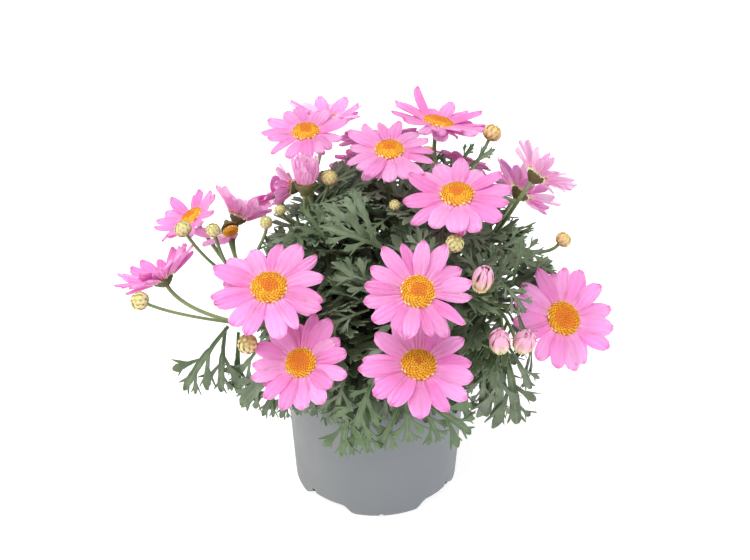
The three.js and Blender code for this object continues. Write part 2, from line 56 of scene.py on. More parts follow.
# Nursery pot: one thin sheet of grey recycled plastic drawn over a mould. It tapers to four feet,
# with a raised channel between each two, a drain hole in every channel and a small notch in the
# edge of every foot. The rolled lip stiffens its mouth.
MM = 0.001
POT_SIDES = 144
POT_WALL = 0.9
POT_FOOT_RINGS = [(15, 0), (20, 0), (34, 0), (46, 0), (49, 0.2), (51, 1), (52.2, 2.2), (52.7, 3.6)]
POT_WALL_RINGS = [(52.9, 5.4), (53.05, 7.2), (53.15, 9.2), (53.6, 16), (54.8, 34), (56.4, 60), (57.9, 83)]
POT_LIP_RINGS = [(58.4, 90.6), (58.9, 91), (59.7, 91.3), (60, 92.2), (60, 98.8), (59.8, 99.6), (59.3, 100)]
CHANNEL_LIFT = 6.5
CHANNEL_TOP = 9.2
CHANNEL_ANGLES = (-128, -38, 52, 142)
CHANNEL_HALF_ANGLE = 15
CHANNEL_SLOPE = 6
CHANNEL_START = 15
CHANNEL_RUN_UP = 5
CHANNEL_HOLES = (-139, -31, 41, 151)
CHANNEL_HOLE_HEIGHT = 8.4
CHANNEL_HOLE_RADIUS = 1.9
FOOT_NOTCHES = (-86, 7, 97, 187)
FOOT_NOTCH_HEIGHT = 1.6
FOOT_NOTCH_RADIUS = 1.7
FOOT_RADIUS = 51
CUTTER_LENGTH = 12
POT_SMOOTH_ANGLE = 38


def open_piece(piece):
    bpy.ops.object.select_all(action="DESELECT")
    piece.select_set(True)
    bpy.context.view_layer.objects.active = piece
    bpy.ops.object.mode_set(mode="EDIT")
    bpy.ops.mesh.select_all(action="DESELECT")


def close_piece():
    bpy.ops.object.mode_set(mode="OBJECT")


def pick(piece, kind, test):
    bpy.ops.mesh.select_mode(type={"verts": "VERT", "edges": "EDGE", "faces": "FACE"}[kind])
    shape = bmesh.from_edit_mesh(piece.data)
    for item in getattr(shape, kind):
        item.select_set(test(item))
    bmesh.update_edit_mesh(piece.data)


def draw_rings(rings, height, unit=MM):
    """Draws the picked ring of edges out to each (radius, height)."""
    radius = rings[0][0]
    for next_radius, next_height in rings[1:]:
        rise = (0, 0, (next_height - height) * unit)
        bpy.ops.mesh.extrude_region_move(TRANSFORM_OT_translate={"value": rise})
        share = next_radius / radius
        bpy.ops.transform.resize(value=(share, share, 1), center_override=(0, 0, next_height * unit))
        radius, height = next_radius, next_height


def finish_with(piece, kind, **settings):
    modifier = piece.modifiers.new(kind.title(), kind)
    for key, value in settings.items():
        setattr(modifier, key, value)
    bpy.ops.object.select_all(action="DESELECT")
    piece.select_set(True)
    bpy.context.view_layer.objects.active = piece
    bpy.ops.object.modifier_apply(modifier=modifier.name)


def join_pieces(name, parts):
    bpy.ops.object.select_all(action="DESELECT")
    for part in parts:
        part.select_set(True)
    bpy.context.view_layer.objects.active = parts[0]
    bpy.ops.object.join()
    parts[0].name = name
    return parts[0]


def add_node(tree, kind, sockets=(), **settings):
    """Adds a node. Its sockets take a plain value or the output of another node."""
    node = tree.nodes.new(kind)
    for key, value in settings.items():
        setattr(node, key, value)
    for key, value in dict(sockets).items():
        if isinstance(value, bpy.types.NodeSocket):
            tree.links.new(value, node.inputs[key])
        else:
            node.inputs[key].default_value = value
    return node


def new_material(name, roughness, specular=0.5):
    material = bpy.data.materials.new(name)
    material.use_nodes = True
    tree = material.node_tree
    surface = tree.nodes["Principled BSDF"]
    surface.inputs["Roughness"].default_value = roughness
    surface.inputs["Specular IOR Level"].default_value = specular
    return material, tree, surface


def noise_on(tree, place, scale, detail=3.0):
    sockets = {"Vector": place, "Scale": scale, "Detail": detail}
    return add_node(tree, "ShaderNodeTexNoise", sockets).outputs["Fac"]


def ramp_on(tree, factor, stops):
    """A colour ramp: stops are (place, colour) from low to high."""
    node = add_node(tree, "ShaderNodeValToRGB", {"Fac": factor})
    elements = node.color_ramp.elements
    while len(elements) < len(stops):
        elements.new(0.5)
    for element, (place, colour) in zip(elements, stops):
        element.position = place
        element.color = (*colour, 1)
    return node.outputs["Color"]


def mix_on(tree, how, factor, first, second):
    node = add_node(tree, "ShaderNodeMix", data_type="RGBA", blend_type=how)
    for key, value in ((0, factor), (6, first), (7, second)):
        if isinstance(value, bpy.types.NodeSocket):
            tree.links.new(value, node.inputs[key])
        elif key == 0:
            node.inputs[key].default_value = value
        else:
            node.inputs[key].default_value = (*value, 1)
    return node.outputs[2]


def sum_on(tree, how, first, second):
    return add_node(tree, "ShaderNodeMath", {0: first, 1: second}, operation=how).outputs[0]


def add_bump(tree, surface, height, depth, strength=1.0):
    sockets = {"Height": height, "Distance": depth, "Strength": strength}
    bump = add_node(tree, "ShaderNodeBump", sockets)
    tree.links.new(bump.outputs["Normal"], surface.inputs["Normal"])


def object_place(tree):
    return add_node(tree, "ShaderNodeTexCoord").outputs["Object"]


def channel_share(spot):
    """How far a point of the pot's foot is lifted with a channel: 0 outside it, 1 in its middle."""
    angle = math.degrees(math.atan2(spot.y, spot.x))
    away = min(abs((angle - middle + 180) % 360 - 180) for middle in CHANNEL_ANGLES)
    across = 1 - min(max((away - CHANNEL_HALF_ANGLE) / CHANNEL_SLOPE, 0), 1)
    along = min(max((spot.xy.length / MM - CHANNEL_START) / CHANNEL_RUN_UP, 0), 1)
    return round(across * along, 1)


bpy.ops.object.select_all(action="DESELECT")
bpy.ops.mesh.primitive_circle_add(vertices=POT_SIDES, radius=POT_FOOT_RINGS[0][0] * MM, fill_type="TRIFAN")
pot = bpy.context.object
pot.name = "nursery_pot"
open_piece(pot)
pick(pot, "edges", lambda edge: edge.is_boundary)
draw_rings(POT_FOOT_RINGS + POT_WALL_RINGS + POT_LIP_RINGS, 0)
for ring_radius, ring_height in POT_FOOT_RINGS + POT_WALL_RINGS[:2]:
    room = 1 - ring_height / CHANNEL_TOP
    for share in [tenth / 10 for tenth in range(1, 11)]:
        pick(
            pot,
            "verts",
            lambda vert: abs(vert.co.z - ring_height * MM) < 1e-5
            and abs(vert.co.xy.length - ring_radius * MM) < 1e-5
            and channel_share(vert.co) == share,
        )
        bpy.ops.transform.translate(value=(0, 0, CHANNEL_LIFT * MM * share * room))
bpy.ops.mesh.select_all(action="SELECT")
bpy.ops.mesh.normals_make_consistent(inside=False)
close_piece()
finish_with(pot, "SOLIDIFY", thickness=POT_WALL * MM, offset=-1)

holes = [(angle, CHANNEL_HOLE_HEIGHT, CHANNEL_HOLE_RADIUS) for angle in CHANNEL_HOLES]
holes += [(angle, FOOT_NOTCH_HEIGHT, FOOT_NOTCH_RADIUS) for angle in FOOT_NOTCHES]
cutters = []
for angle, height, radius in holes:
    bpy.ops.object.select_all(action="DESELECT")
    out = Vector((math.cos(math.radians(angle)), math.sin(math.radians(angle)), 0))
    bpy.ops.mesh.primitive_cylinder_add(
        vertices=20,
        radius=radius * MM,
        depth=CUTTER_LENGTH * MM,
        location=out * FOOT_RADIUS * MM + Vector((0, 0, height * MM)),
        rotation=(math.pi / 2, 0, math.radians(angle + 90)),
    )
    cutters.append(bpy.context.object)
cutter = join_pieces("pot_cutter", cutters)
finish_with(pot, "BOOLEAN", operation="DIFFERENCE", object=cutter, solver="EXACT")
bpy.data.objects.remove(cutter)
bpy.ops.object.shade_smooth_by_angle(angle=math.radians(POT_SMOOTH_ANGLE))

plastic, tree, surface = new_material("grey_plastic", 0.5, 0.4)
place = object_place(tree)
clouds = noise_on(tree, place, 22.0)
tint = ramp_on(tree, clouds, [(0.3, (0.193, 0.205, 0.21)), (0.7, (0.208, 0.22, 0.226))])
# Painted light: the pot's left side is tinted warm and a little lighter, and its right side cool, standing in
# for the light falling on each side.
sideways = add_node(tree, "ShaderNodeSeparateXYZ", {0: place}).outputs["X"]
painted_side_light_stops = [(0.0, (1.02, 1, 0.96)), (0.6, (0.95, 0.98, 1.02))]
painted_side_light = ramp_on(tree, sum_on(tree, "MULTIPLY_ADD", sideways, 8.0), painted_side_light_stops)
tint = mix_on(tree, "MULTIPLY", 1.0, tint, painted_side_light)
specks = ramp_on(tree, noise_on(tree, place, 150.0, 1.0), [(0.16, (0.3, 0.3, 0.3)), (0.19, (1, 1, 1))])
tint = mix_on(tree, "MULTIPLY", 0.7, tint, specks)
tree.links.new(tint, surface.inputs["Base Color"])
wear = ramp_on(tree, noise_on(tree, place, 90.0), [(0.3, (0.42,) * 3), (0.75, (0.58,) * 3)])
tree.links.new(wear, surface.inputs["Roughness"])
add_bump(tree, surface, noise_on(tree, place, 900.0), 0.00006)
pot.data.materials.append(plastic)
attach(pot, "root")
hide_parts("pot")

# Potting soil: dark peat that fills the pot to a finger's width below the lip, with crumbs of
# bark lying on it. Only its top shows, between the leaves.
SOIL_HEIGHT = 88
SOIL_RADIUS = 56.2
SOIL_FLOOR = 10
SOIL_FLOOR_RADIUS = 53
SOIL_RING_STEP = 2
# The soil sinks a millimetre over this many millimetres from its middle.
SOIL_FALL = 28
LUMP_SIZE = 6
LUMP_HEIGHT = 2.4
CRUMB_COUNT = 150
CRUMB_REACH = 52


def copy_of(template, matrix, tone=0.5):
    """A copy with a mesh of its own, set in place by its matrix. The tone varies its colour."""
    mesh = template.data.copy()
    mesh.transform(matrix)
    layer = mesh.attributes.get("tone") or mesh.attributes.new("tone", "FLOAT", "POINT")
    layer.data.foreach_set("value", [tone] * len(mesh.vertices))
    part = bpy.data.objects.new(template.name + "_copy", mesh)
    bpy.context.scene.collection.objects.link(part)
    return part


bpy.ops.object.select_all(action="DESELECT")
bpy.ops.mesh.primitive_circle_add(
    vertices=72, radius=SOIL_RING_STEP * MM, fill_type="TRIFAN", location=(0, 0, (SOIL_HEIGHT + 1) * MM)
)
bpy.ops.object.transform_apply(location=True, rotation=False, scale=False)
soil = bpy.context.object
soil.name = "peat_soil"
open_piece(soil)
pick(soil, "edges", lambda edge: edge.is_boundary)
soil_radii = range(SOIL_RING_STEP, int(SOIL_RADIUS), SOIL_RING_STEP)
soil_rings = [(radius, SOIL_HEIGHT + 1 - radius / SOIL_FALL) for radius in soil_radii]
soil_rings += [(SOIL_RADIUS, SOIL_HEIGHT - 2), (SOIL_FLOOR_RADIUS, SOIL_FLOOR), (SOIL_RING_STEP, SOIL_FLOOR)]
draw_rings(soil_rings, SOIL_HEIGHT + 1)
bpy.ops.mesh.edge_collapse()
bpy.ops.mesh.select_all(action="SELECT")
bpy.ops.mesh.normals_make_consistent(inside=False)
close_piece()
lumps = bpy.data.textures.new("soil_lumps", "CLOUDS")
lumps.noise_scale = LUMP_SIZE * MM
finish_with(soil, "DISPLACE", texture=lumps, texture_coords="LOCAL", direction="Z",
            strength=LUMP_HEIGHT * MM, mid_level=0.6)

bpy.ops.object.select_all(action="DESELECT")
bpy.ops.mesh.primitive_ico_sphere_add(subdivisions=1, radius=1)
crumb = bpy.context.object
open_piece(crumb)
bpy.ops.mesh.select_all(action="SELECT")
bpy.ops.transform.vertex_random(offset=0.35, seed=4)
bpy.ops.transform.resize(value=(1.5, 0.9, 0.6), center_override=(0, 0, 0))
close_piece()
luck = random.Random(11)
crumbs = []
for _ in range(CRUMB_COUNT):
    turn = luck.uniform(0, math.tau)
    radius = math.sqrt(luck.random()) * CRUMB_REACH
    spot = Vector((radius * math.cos(turn), radius * math.sin(turn), SOIL_HEIGHT + 0.4 - radius / SOIL_FALL))
    size = luck.uniform(0.9, 2.4) * MM
    laid = Matrix.Translation(spot * MM) @ Matrix.Rotation(luck.uniform(0, math.tau), 4, "Z")
    crumbs.append(copy_of(crumb, laid @ Matrix.Scale(size, 4), luck.random()))
soil = join_pieces("peat_soil", [soil] + crumbs)
bpy.data.objects.remove(crumb)



def tone_on(tree):
    """The tone that copy_of gave each copy."""
    return add_node(tree, "ShaderNodeAttribute", attribute_name="tone").outputs["Fac"]


peat, tree, surface = new_material("peat", 0.95, 0.2)
place = object_place(tree)
peat_stops = [(0.3, (0.012, 0.008, 0.005)), (0.7, (0.06, 0.038, 0.022))]
dirt = ramp_on(tree, noise_on(tree, place, 260.0), peat_stops)
tone = tone_on(tree)
pale = ramp_on(tree, tone, [(0.55, (0.5, 0.5, 0.5)), (1.0, (1.9, 1.5, 1.15))])
tree.links.new(mix_on(tree, "MULTIPLY", 1.0, dirt, pale), surface.inputs["Base Color"])
add_bump(tree, surface, noise_on(tree, place, 700.0), 0.0006)
soil.data.materials.append(peat)
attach(soil, "root")
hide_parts("potting_soil")

# Woody base: the old stem of the plant, brown and cracked, with one short limb for each shoot.
# It grows straight out of the soil and is almost hidden by the leaves.
CROWN = Vector((0, 0, 98.4))
TRUNK_FOOT = Vector((0, 0, 77))
TRUNK_RADII = (6, 4.2)
TRUNK_BEND = Vector((1, 0, 8))
LIMB_LENGTH = 25
LIMB_RADII = (3, 2.2)
# The fork of each shoot, where its stalks part.
SHOOTS = {
    "front_left": (-44, -45, 144),
    "front_right": (20, -45, 151),
    "right": (70, -25, 143),
    "upper_right": (36, 0, 178),
    "rear_right": (66, 25, 153),
    "top": (6, 15, 177),
    "upper_left": (-35, 15, 170),
    "left": (-76, 5, 136),
    "low_left": (-74, -30, 131),
    "back": (0, 55, 158),
}


def limb_way(shoot):
    return (Vector(SHOOTS[shoot]) - CROWN).normalized()


def ridged_outline(points):
    """A closed outline a millimetre in radius with shallow ridges, for stems to follow."""
    line = bpy.data.curves.new("stem_outline", "CURVE")
    spline = line.splines.new("POLY")
    spline.points.add(points - 1)
    for index, point in enumerate(spline.points):
        radius = MM * (1 if index % 2 else 0.84)
        angle = math.tau * index / points
        point.co = (radius * math.cos(angle), radius * math.sin(angle), 0, 1)
    spline.use_cyclic_u = True
    outline = bpy.data.objects.new("stem_outline", line)
    bpy.context.scene.collection.objects.link(outline)
    return outline


def grow_stems(name, ways, outline, steps):
    """Each way is four points of a smooth curve, in millimetres, with the radius at its two ends."""
    line = bpy.data.curves.new(name, "CURVE")
    line.dimensions = "3D"
    line.bevel_mode = "OBJECT"
    line.bevel_object = outline
    line.use_fill_caps = True
    line.resolution_u = steps
    for start, leaving, arriving, end, first_radius, last_radius in ways:
        spline = line.splines.new("BEZIER")
        spline.bezier_points.add(1)
        for point, spot, before, after, radius in (
            (spline.bezier_points[0], start, start * 2 - leaving, leaving, first_radius),
            (spline.bezier_points[1], end, arriving, end * 2 - arriving, last_radius),
        ):
            point.handle_left_type = point.handle_right_type = "FREE"
            point.co = spot * MM
            point.handle_left = before * MM
            point.handle_right = after * MM
            point.radius = radius
    stems = bpy.data.objects.new(name, line)
    bpy.context.scene.collection.objects.link(stems)
    bpy.ops.object.select_all(action="DESELECT")
    stems.select_set(True)
    bpy.context.view_layer.objects.active = stems
    bpy.ops.object.convert(target="MESH")
    bpy.ops.object.shade_smooth_by_angle(angle=math.radians(70))
    return bpy.context.object


stem_outline = ridged_outline(10)
trunk_top = CROWN + Vector((0, 0, 3))
limb_ways = [(TRUNK_FOOT, TRUNK_FOOT + TRUNK_BEND, trunk_top - TRUNK_BEND, trunk_top, *TRUNK_RADII)]
for name in SHOOTS:
    away = limb_way(name)
    start = CROWN - Vector((0, 0, 4)) + away * 2
    end = CROWN + away * LIMB_LENGTH
    limb_ways.append((start, start + away * 8 + Vector((0, 0, 2)), end - away * 8, end, *LIMB_RADII))
woody_base = grow_stems("woody_base", limb_ways, stem_outline, 8)

bark, tree, surface = new_material("bark", 0.85, 0.3)
place = object_place(tree)
grain = noise_on(tree, place, 330.0, 6.0)
bark_stops = [(0.32, (0.05, 0.032, 0.018)), (0.55, (0.2, 0.15, 0.085)), (0.75, (0.3, 0.25, 0.15))]
tree.links.new(ramp_on(tree, grain, bark_stops), surface.inputs["Base Color"])
add_bump(tree, surface, grain, 0.0008)
woody_base.data.materials.append(bark)
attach(woody_base, "root")
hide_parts("woody_stem")

# Flower stalks: thin ridged green stems. Each leaves its shoot's fork, bows outwards and comes up
# under the flower or bud that it carries. The shoot's own axis is the thickest of them.
# A flower is (shoot, middle, compass direction, lean, radius, petals, rise of the petals).
FLOWERS = {
    "top_left": ("upper_left", (-43, 30, 233), -111, 12, 28, 15, 9),
    "top_left_rear": ("upper_left", (-33, 98, 211), 60, 12, 28, 14, 32),
    "half_open": ("upper_left", (-42, -9, 219), 60, 8, 20, 18, 72),
    "half_open_rear": ("upper_left", (-53, 20, 200), 178, 82, 18, 11, 52),
    "top_centre": ("top", (8, 0, 235), -90, 13, 29, 15, 4),
    "top_rear": ("top", (0, 56, 218), 95, 38, 29, 14, 6),
    "top_right": ("upper_right", (39, 58, 226), 30, 13, 33, 15, 20),
    "upper_right": ("upper_right", (47, -35, 223), -99, 15, 33, 14, 7),
    "rear_right": ("rear_right", (56, 76, 192), 60, 40, 20, 13, 8),
    "far_right": ("rear_right", (99, 22, 208), 42, 55, 26, 22, 32),
    "far_right_rear": ("rear_right", (93, 54, 180), 42, 60, 27, 15, 28),
    "far_left": ("left", (-114, 15, 182), -170, 33, 26, 14, 18),
    "left_rear": ("left", (-86, 27, 177), 56, 38, 25, 14, 50),
    "faded": ("left", (-90, 8, 177), -68, 112, 24, 11, -8),
    "low_left": ("low_left", (-130, -21, 160), 152, 34, 31, 17, 29),
    "front_left": ("front_left", (-61, -75, 184), -94, 28, 35, 15, 8),
    "front_low_left": ("front_left", (-43, -95, 146), -106, 40, 30, 15, 6),
    "front_centre": ("front_right", (23, -100, 196), -80, 42, 32, 16, 5),
    "front_low": ("front_right", (24, -105, 151), -79, 26, 34, 14, 6),
    "right": ("right", (114, -30, 136), -62, 46, 36, 15, 7),
    "back": ("back", (-2, 118, 170), 95, 48, 32, 15, 6),
    "back_left": ("back", (-66, 92, 158), 130, 46, 30, 14, 8),
}
# A closed bud is (shoot, middle, radius, compass direction, lean).
GREEN_BUDS = [
    ("low_left", (-139, -54, 163), 5.2, -160, 55),
    ("left", (-116, -15, 190), 4.8, 175, 30),
    ("left", (-97, -24, 194), 4, -120, 20),
    ("left", (-66, -14, 194), 3.6, -90, 25),
    ("upper_left", (-28, -4, 219), 4.4, -60, 12),
    ("upper_left", (-58, -4, 197), 3.2, -150, 25),
    ("top", (11, -26, 212), 3, -90, 20),
    ("front_right", (45, -62, 206), 4.8, -60, 30),
    ("rear_right", (114, -8, 179), 4.4, 10, 40),
    ("upper_right", (72, 40, 228), 5.2, 20, 25),
    ("front_left", (-74, -84, 152), 5.4, -120, 30),
    ("back", (34, 92, 190), 4.4, 80, 35),
]
OPENING_BUDS = {
    "bud_opening_upper": ("right", (61, -70, 187), 6.4, -40, 15),
    "bud_opening_inner": ("right", (72, -76, 149), 7, -100, 25),
    "bud_opening_outer": ("right", (87, -70, 145), 7, -70, 30),
}
SHOOT_FOOT_RADIUS = 2.1
SHOOT_RADIUS = 1.8
STALK_RADIUS = 1.25
BUD_STALK_RADIUS = STALK_RADIUS * 0.8
# How far a stalk runs straight on from its fork and up to its flower, as shares of its reach.
STALK_START = 0.35
STALK_ARRIVAL = 0.3
CALYX_SEAT = 5.4


def leaning(towards, lean):
    """The direction that leans from upright by lean degrees towards a compass direction."""
    flat = math.sin(math.radians(lean))
    towards = math.radians(towards)
    return Vector((flat * math.cos(towards), flat * math.sin(towards), math.cos(math.radians(lean))))


def stalk_way(shoot, end, facing, radius):
    away = limb_way(shoot)
    start = Vector(SHOOTS[shoot]) - away * 2 * SHOOT_RADIUS
    reach = (end - start).length
    leaving = start + away * reach * STALK_START
    arriving = end - facing * reach * STALK_ARRIVAL
    return (start, leaving, arriving, end, radius, radius * 1.1)


def let_light_through(surface, weight, depths, scale=0.05):
    """Lets light into a thin living piece, to a depth in metres for red, green and blue."""
    surface.inputs["Subsurface Weight"].default_value = weight
    surface.inputs["Subsurface Radius"].default_value = depths
    surface.inputs["Subsurface Scale"].default_value = scale


flower_stalks = {}
for name, (shoot, middle, towards, lean, *_) in FLOWERS.items():
    facing = leaning(towards, lean)
    end = Vector(middle) - facing * CALYX_SEAT
    flower_stalks[name] = stalk_way(shoot, end, facing, STALK_RADIUS)
bud_stalks = []
for shoot, middle, radius, towards, lean in GREEN_BUDS + list(OPENING_BUDS.values()):
    facing = leaning(towards, lean)
    end = Vector(middle) - facing * radius * 0.8
    bud_stalks.append((shoot, stalk_way(shoot, end, facing, BUD_STALK_RADIUS)))

stalk_skin, tree, surface = new_material("stalk_skin", 0.5, 0.4)
place = object_place(tree)
tint = ramp_on(tree, noise_on(tree, place, 45.0), [(0.35, (0.13, 0.185, 0.065)), (0.7, (0.23, 0.29, 0.13))])
tree.links.new(tint, surface.inputs["Base Color"])
let_light_through(surface, 0.15, (0.001, 0.002, 0.0005))
add_bump(tree, surface, noise_on(tree, place, 600.0), 0.0002)
for name in SHOOTS:
    away = limb_way(name)
    start = CROWN + away * (LIMB_LENGTH - 1)
    fork = Vector(SHOOTS[name])
    ways = [(start, start.lerp(fork, 0.35), start.lerp(fork, 0.7), fork, SHOOT_FOOT_RADIUS, SHOOT_RADIUS)]
    ways += [way for flower, way in flower_stalks.items() if FLOWERS[flower][0] == name]
    ways += [way for shoot, way in bud_stalks if shoot == name]
    stalks = grow_stems("stalks_" + name, ways, stem_outline, 14)
    stalks.data.materials.append(stalk_skin)
    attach(stalks, "root")
    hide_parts("shoot_" + name)
bpy.data.objects.remove(stem_outline)

# Leaves: grey-green, rather thick, each a flat strap that parts into fingers with blunt teeth.
# They stand round every shoot and stalk, and the lowest ones hang over the pot's lip.
# Every leaf is grown flat from a narrow strip, arched, and then set in its place.
LEAF_ROWS = [0, 0.12, 0.25, 0.31, 0.37, 0.43, 0.49, 0.55, 0.61, 0.67, 0.73, 0.79, 0.86]
LEAF_ROW_WIDTHS = [0.017, 0.018, 0.02, 0.022, 0.025, 0.028, 0.031, 0.034, 0.036, 0.037, 0.038, 0.038, 0.036]
LEAF_THICKNESS = 0.012
LEAF_WAVES = 0.009
# A finger is (row where it starts, its side, its angle, its length, its width).
LEAF_FINGERS = {
    "fingered": [(4, 1, 34, 0.38, 0.1), (6, -1, 32, 0.35, 0.095), (9, 1, 32, 0.2, 0.07)],
    "feathered": [
        (2, -1, 46, 0.2, 0.06), (4, 1, 42, 0.3, 0.08), (5, -1, 40, 0.33, 0.085),
        (8, 1, 36, 0.28, 0.078), (9, -1, 36, 0.2, 0.066),
    ],
    "strap": [(7, 1, 28, 0.3, 0.075), (9, -1, 34, 0.13, 0.055)],
    "forked": [(6, -1, 26, 0.44, 0.105), (6, 1, 42, 0.22, 0.08), (10, 1, 34, 0.14, 0.06)],
    "broad": [
        (5, 1, 38, 0.2, 0.09), (7, -1, 36, 0.22, 0.1), (9, 1, 32, 0.17, 0.08), (10, -1, 30, 0.14, 0.07),
    ],
}
LEAF_SPREADS = {"fingered": 1.15, "feathered": 1.1, "strap": 1.4, "forked": 1.3, "broad": 2.1}
# A finger is drawn out in steps: (share of its length, share of its width).
FINGER_STEPS = ((0.34, 0.5), (0.28, 0.85), (0.16, 1.0), (0.13, 0.62), (0.09, 0.26))
# Its teeth: (side, place along it, size). The leaf's own tip has two more: (side, row, reach).
FINGER_TEETH = ((1, 0.56, 1.25), (-1, 0.7, 0.8))
LEAF_TIP_STEPS = ((0.06, 0.85), (0.05, 0.6), (0.025, 0.45))
LEAF_TIP_TEETH = ((1, 0.89, 0.07), (-1, 0.825, 0.085))
TOOTH_LENGTH = 0.8
TOOTH_WAY = (1.2, 0.75)
TOOTH_OUT = 0.42
TOOTH_END = 0.3
# A leaf is folded up along its rib: (distance from the rib, lift).
LEAF_FOLDS = ((0.012, 0.018), (0.06, 0.016), (0.14, 0.01))
LEAF_ARCHES = {"straight": 10, "bowed": 36, "draped": 52, "drooping": 78}


def middle_of(edge):
    return (edge.verts[0].co + edge.verts[1].co) / 2


def nearest_edge(leaf, spot):
    shape = bmesh.from_edit_mesh(leaf.data)
    free = [edge for edge in shape.edges if edge.is_boundary]
    nearest = min(free, key=lambda edge: (middle_of(edge) - spot).length).index
    pick(leaf, "edges", lambda edge: edge.index == nearest)


def grow_tooth(leaf, spot, way):
    """Draws a small blunt tooth out of the edge nearest to a spot."""
    nearest_edge(leaf, spot)
    bpy.ops.mesh.extrude_region_move(TRANSFORM_OT_translate={"value": way})
    bpy.ops.transform.resize(value=(TOOTH_END, TOOTH_END, 1), center_override=spot + way)


def grow_finger(leaf, widths, row, side, degrees, length, width):
    """Draws a finger out of one side edge of the strip: a narrow foot, a wide end, two teeth."""
    foot = Vector((LEAF_ROWS[row] + LEAF_ROWS[row + 1], side * (widths[row] + widths[row + 1]), 0)) / 2
    way = Vector((math.cos(math.radians(degrees)), side * math.sin(math.radians(degrees)), 0))
    nearest_edge(leaf, foot)
    spot = foot
    edge_length = LEAF_ROWS[row + 1] - LEAF_ROWS[row]
    for index, (go, size) in enumerate(FINGER_STEPS):
        bpy.ops.mesh.extrude_region_move(TRANSFORM_OT_translate={"value": way * length * go})
        spot = spot + way * length * go
        if index == 0:
            turn = side * math.radians(90 - degrees)
            bpy.ops.transform.rotate(value=turn, orient_axis="Z", center_override=spot)
        share = width * size / edge_length
        bpy.ops.transform.resize(value=(share, share, 1), center_override=spot)
        edge_length = width * size
    across = Vector((-way.y, way.x, 0))
    for tooth_side, along, size in FINGER_TEETH:
        beside = side * tooth_side
        edge_spot = foot + way * length * along + across * beside * width * TOOTH_OUT
        tooth_way = way * TOOTH_WAY[0] + across * beside * TOOTH_WAY[1]
        grow_tooth(leaf, edge_spot, tooth_way * width * size * TOOTH_LENGTH)


def lay_map(piece, across):
    """Maps a flat piece by its own length and width, so that veins and stripes can follow it."""
    corners = piece.data.uv_layers.active.data
    for loop in piece.data.loops:
        spot = piece.data.vertices[loop.vertex_index].co
        corners[loop.index].uv = (spot.x, 0.5 + spot.y / across)


def arch_piece(piece, rows, degrees):
    """Bends a piece downwards bit by bit along its length, from the tip back to the foot."""
    open_piece(piece)
    shape = bmesh.from_edit_mesh(piece.data)
    beyond = [{vert.index for vert in shape.verts if vert.co.x > row + 1e-4} for row in rows]
    for row, group in reversed(list(zip(rows, beyond))):
        pick(piece, "verts", lambda vert: vert.index in group)
        bpy.ops.transform.rotate(
            value=-math.radians(degrees / len(rows)), orient_axis="Y", center_override=(row, 0, 0)
        )
    close_piece()


def new_strip(name, rows, widths, columns):
    """A flat strip along X, with each row of it set to its place and half width."""
    bpy.ops.object.select_all(action="DESELECT")
    bpy.ops.mesh.primitive_grid_add(x_subdivisions=len(rows) - 1, y_subdivisions=columns, size=2)
    strip = bpy.context.object
    strip.name = name
    open_piece(strip)
    shape = bmesh.from_edit_mesh(strip.data)
    count = len(rows)
    groups = [set() for _ in rows]
    for vert in shape.verts:
        groups[round((vert.co.x + 1) / 2 * (count - 1))].add(vert.index)
    for index, (row, width) in enumerate(zip(rows, widths)):
        old = -1 + 2 * index / (count - 1)
        pick(strip, "verts", lambda vert: vert.index in groups[index])
        bpy.ops.transform.translate(value=(row - old, 0, 0))
        bpy.ops.transform.resize(value=(1, width, 1), center_override=(row, 0, 0))
    return strip


leaf_templates = {}
for kind, fingers in LEAF_FINGERS.items():
    spread = LEAF_SPREADS[kind]
    widths = [
        half * (1 + (spread - 1) * min(row / 0.5, 1)) for row, half in zip(LEAF_ROWS, LEAF_ROW_WIDTHS)
    ]
    leaf = new_strip("leaf_" + kind, LEAF_ROWS, widths, 2)
    pick(leaf, "edges", lambda edge: edge.is_boundary and middle_of(edge).x > LEAF_ROWS[-1] - 1e-3)
    for step, size in LEAF_TIP_STEPS:
        bpy.ops.mesh.extrude_region_move(TRANSFORM_OT_translate={"value": (step, 0, 0)})
        bpy.ops.transform.resize(value=(1, size, 1), center_override=(0, 0, 0))
    for beside, row, reach in LEAF_TIP_TEETH:
        tooth = Vector((reach, 0.55 * reach * beside, 0))
        grow_tooth(leaf, Vector((row, 0.034 * spread * beside, 0)), tooth)
    for finger in fingers:
        grow_finger(leaf, widths, *finger)
    close_piece()
    lay_map(leaf, 1)
    open_piece(leaf)
    for edge_width, lift in LEAF_FOLDS:
        pick(leaf, "verts", lambda vert: abs(vert.co.y) > edge_width)
        bpy.ops.transform.translate(value=(0, 0, lift))
    bpy.ops.mesh.select_all(action="SELECT")
    bpy.ops.transform.vertex_random(offset=LEAF_WAVES, seed=len(kind))
    close_piece()
    for arch, degrees in LEAF_ARCHES.items():
        arched = copy_of(leaf, Matrix.Identity(4))
        arched.name = f"leaf_{kind}_{arch}"
        arch_piece(arched, LEAF_ROWS[1:], degrees)
        finish_with(arched, "SOLIDIFY", thickness=LEAF_THICKNESS, offset=0)
        bpy.ops.object.shade_smooth_by_angle(angle=math.radians(60))
        leaf_templates[kind, arch] = arched
    bpy.data.objects.remove(leaf)


def curve_at(way, share):
    """The point and the direction at a share of a stalk's curve."""
    a, b, c, d = way[:4]
    rest = 1 - share
    point = a * rest**3 + b * 3 * rest**2 * share + c * 3 * rest * share**2 + d * share**3
    along = (b - a) * rest**2 + (c - b) * 2 * rest * share + (d - c) * share**2
    return point, along.normalized()


VIEW_TILT = math.radians(VIEW_HEIGHT_ANGLE)
TO_VIEWER = Vector((0, -math.cos(VIEW_TILT), math.sin(VIEW_TILT)))
flower_guards = []
for name, (_, middle, towards, lean, radius, _, rise) in FLOWERS.items():
    flower_guards.append((Vector(middle), leaning(towards, lean), radius, math.sin(math.radians(rise))))
bud_guards = [(Vector(bud[1]), bud[2]) for bud in GREEN_BUDS + list(OPENING_BUDS.values())]
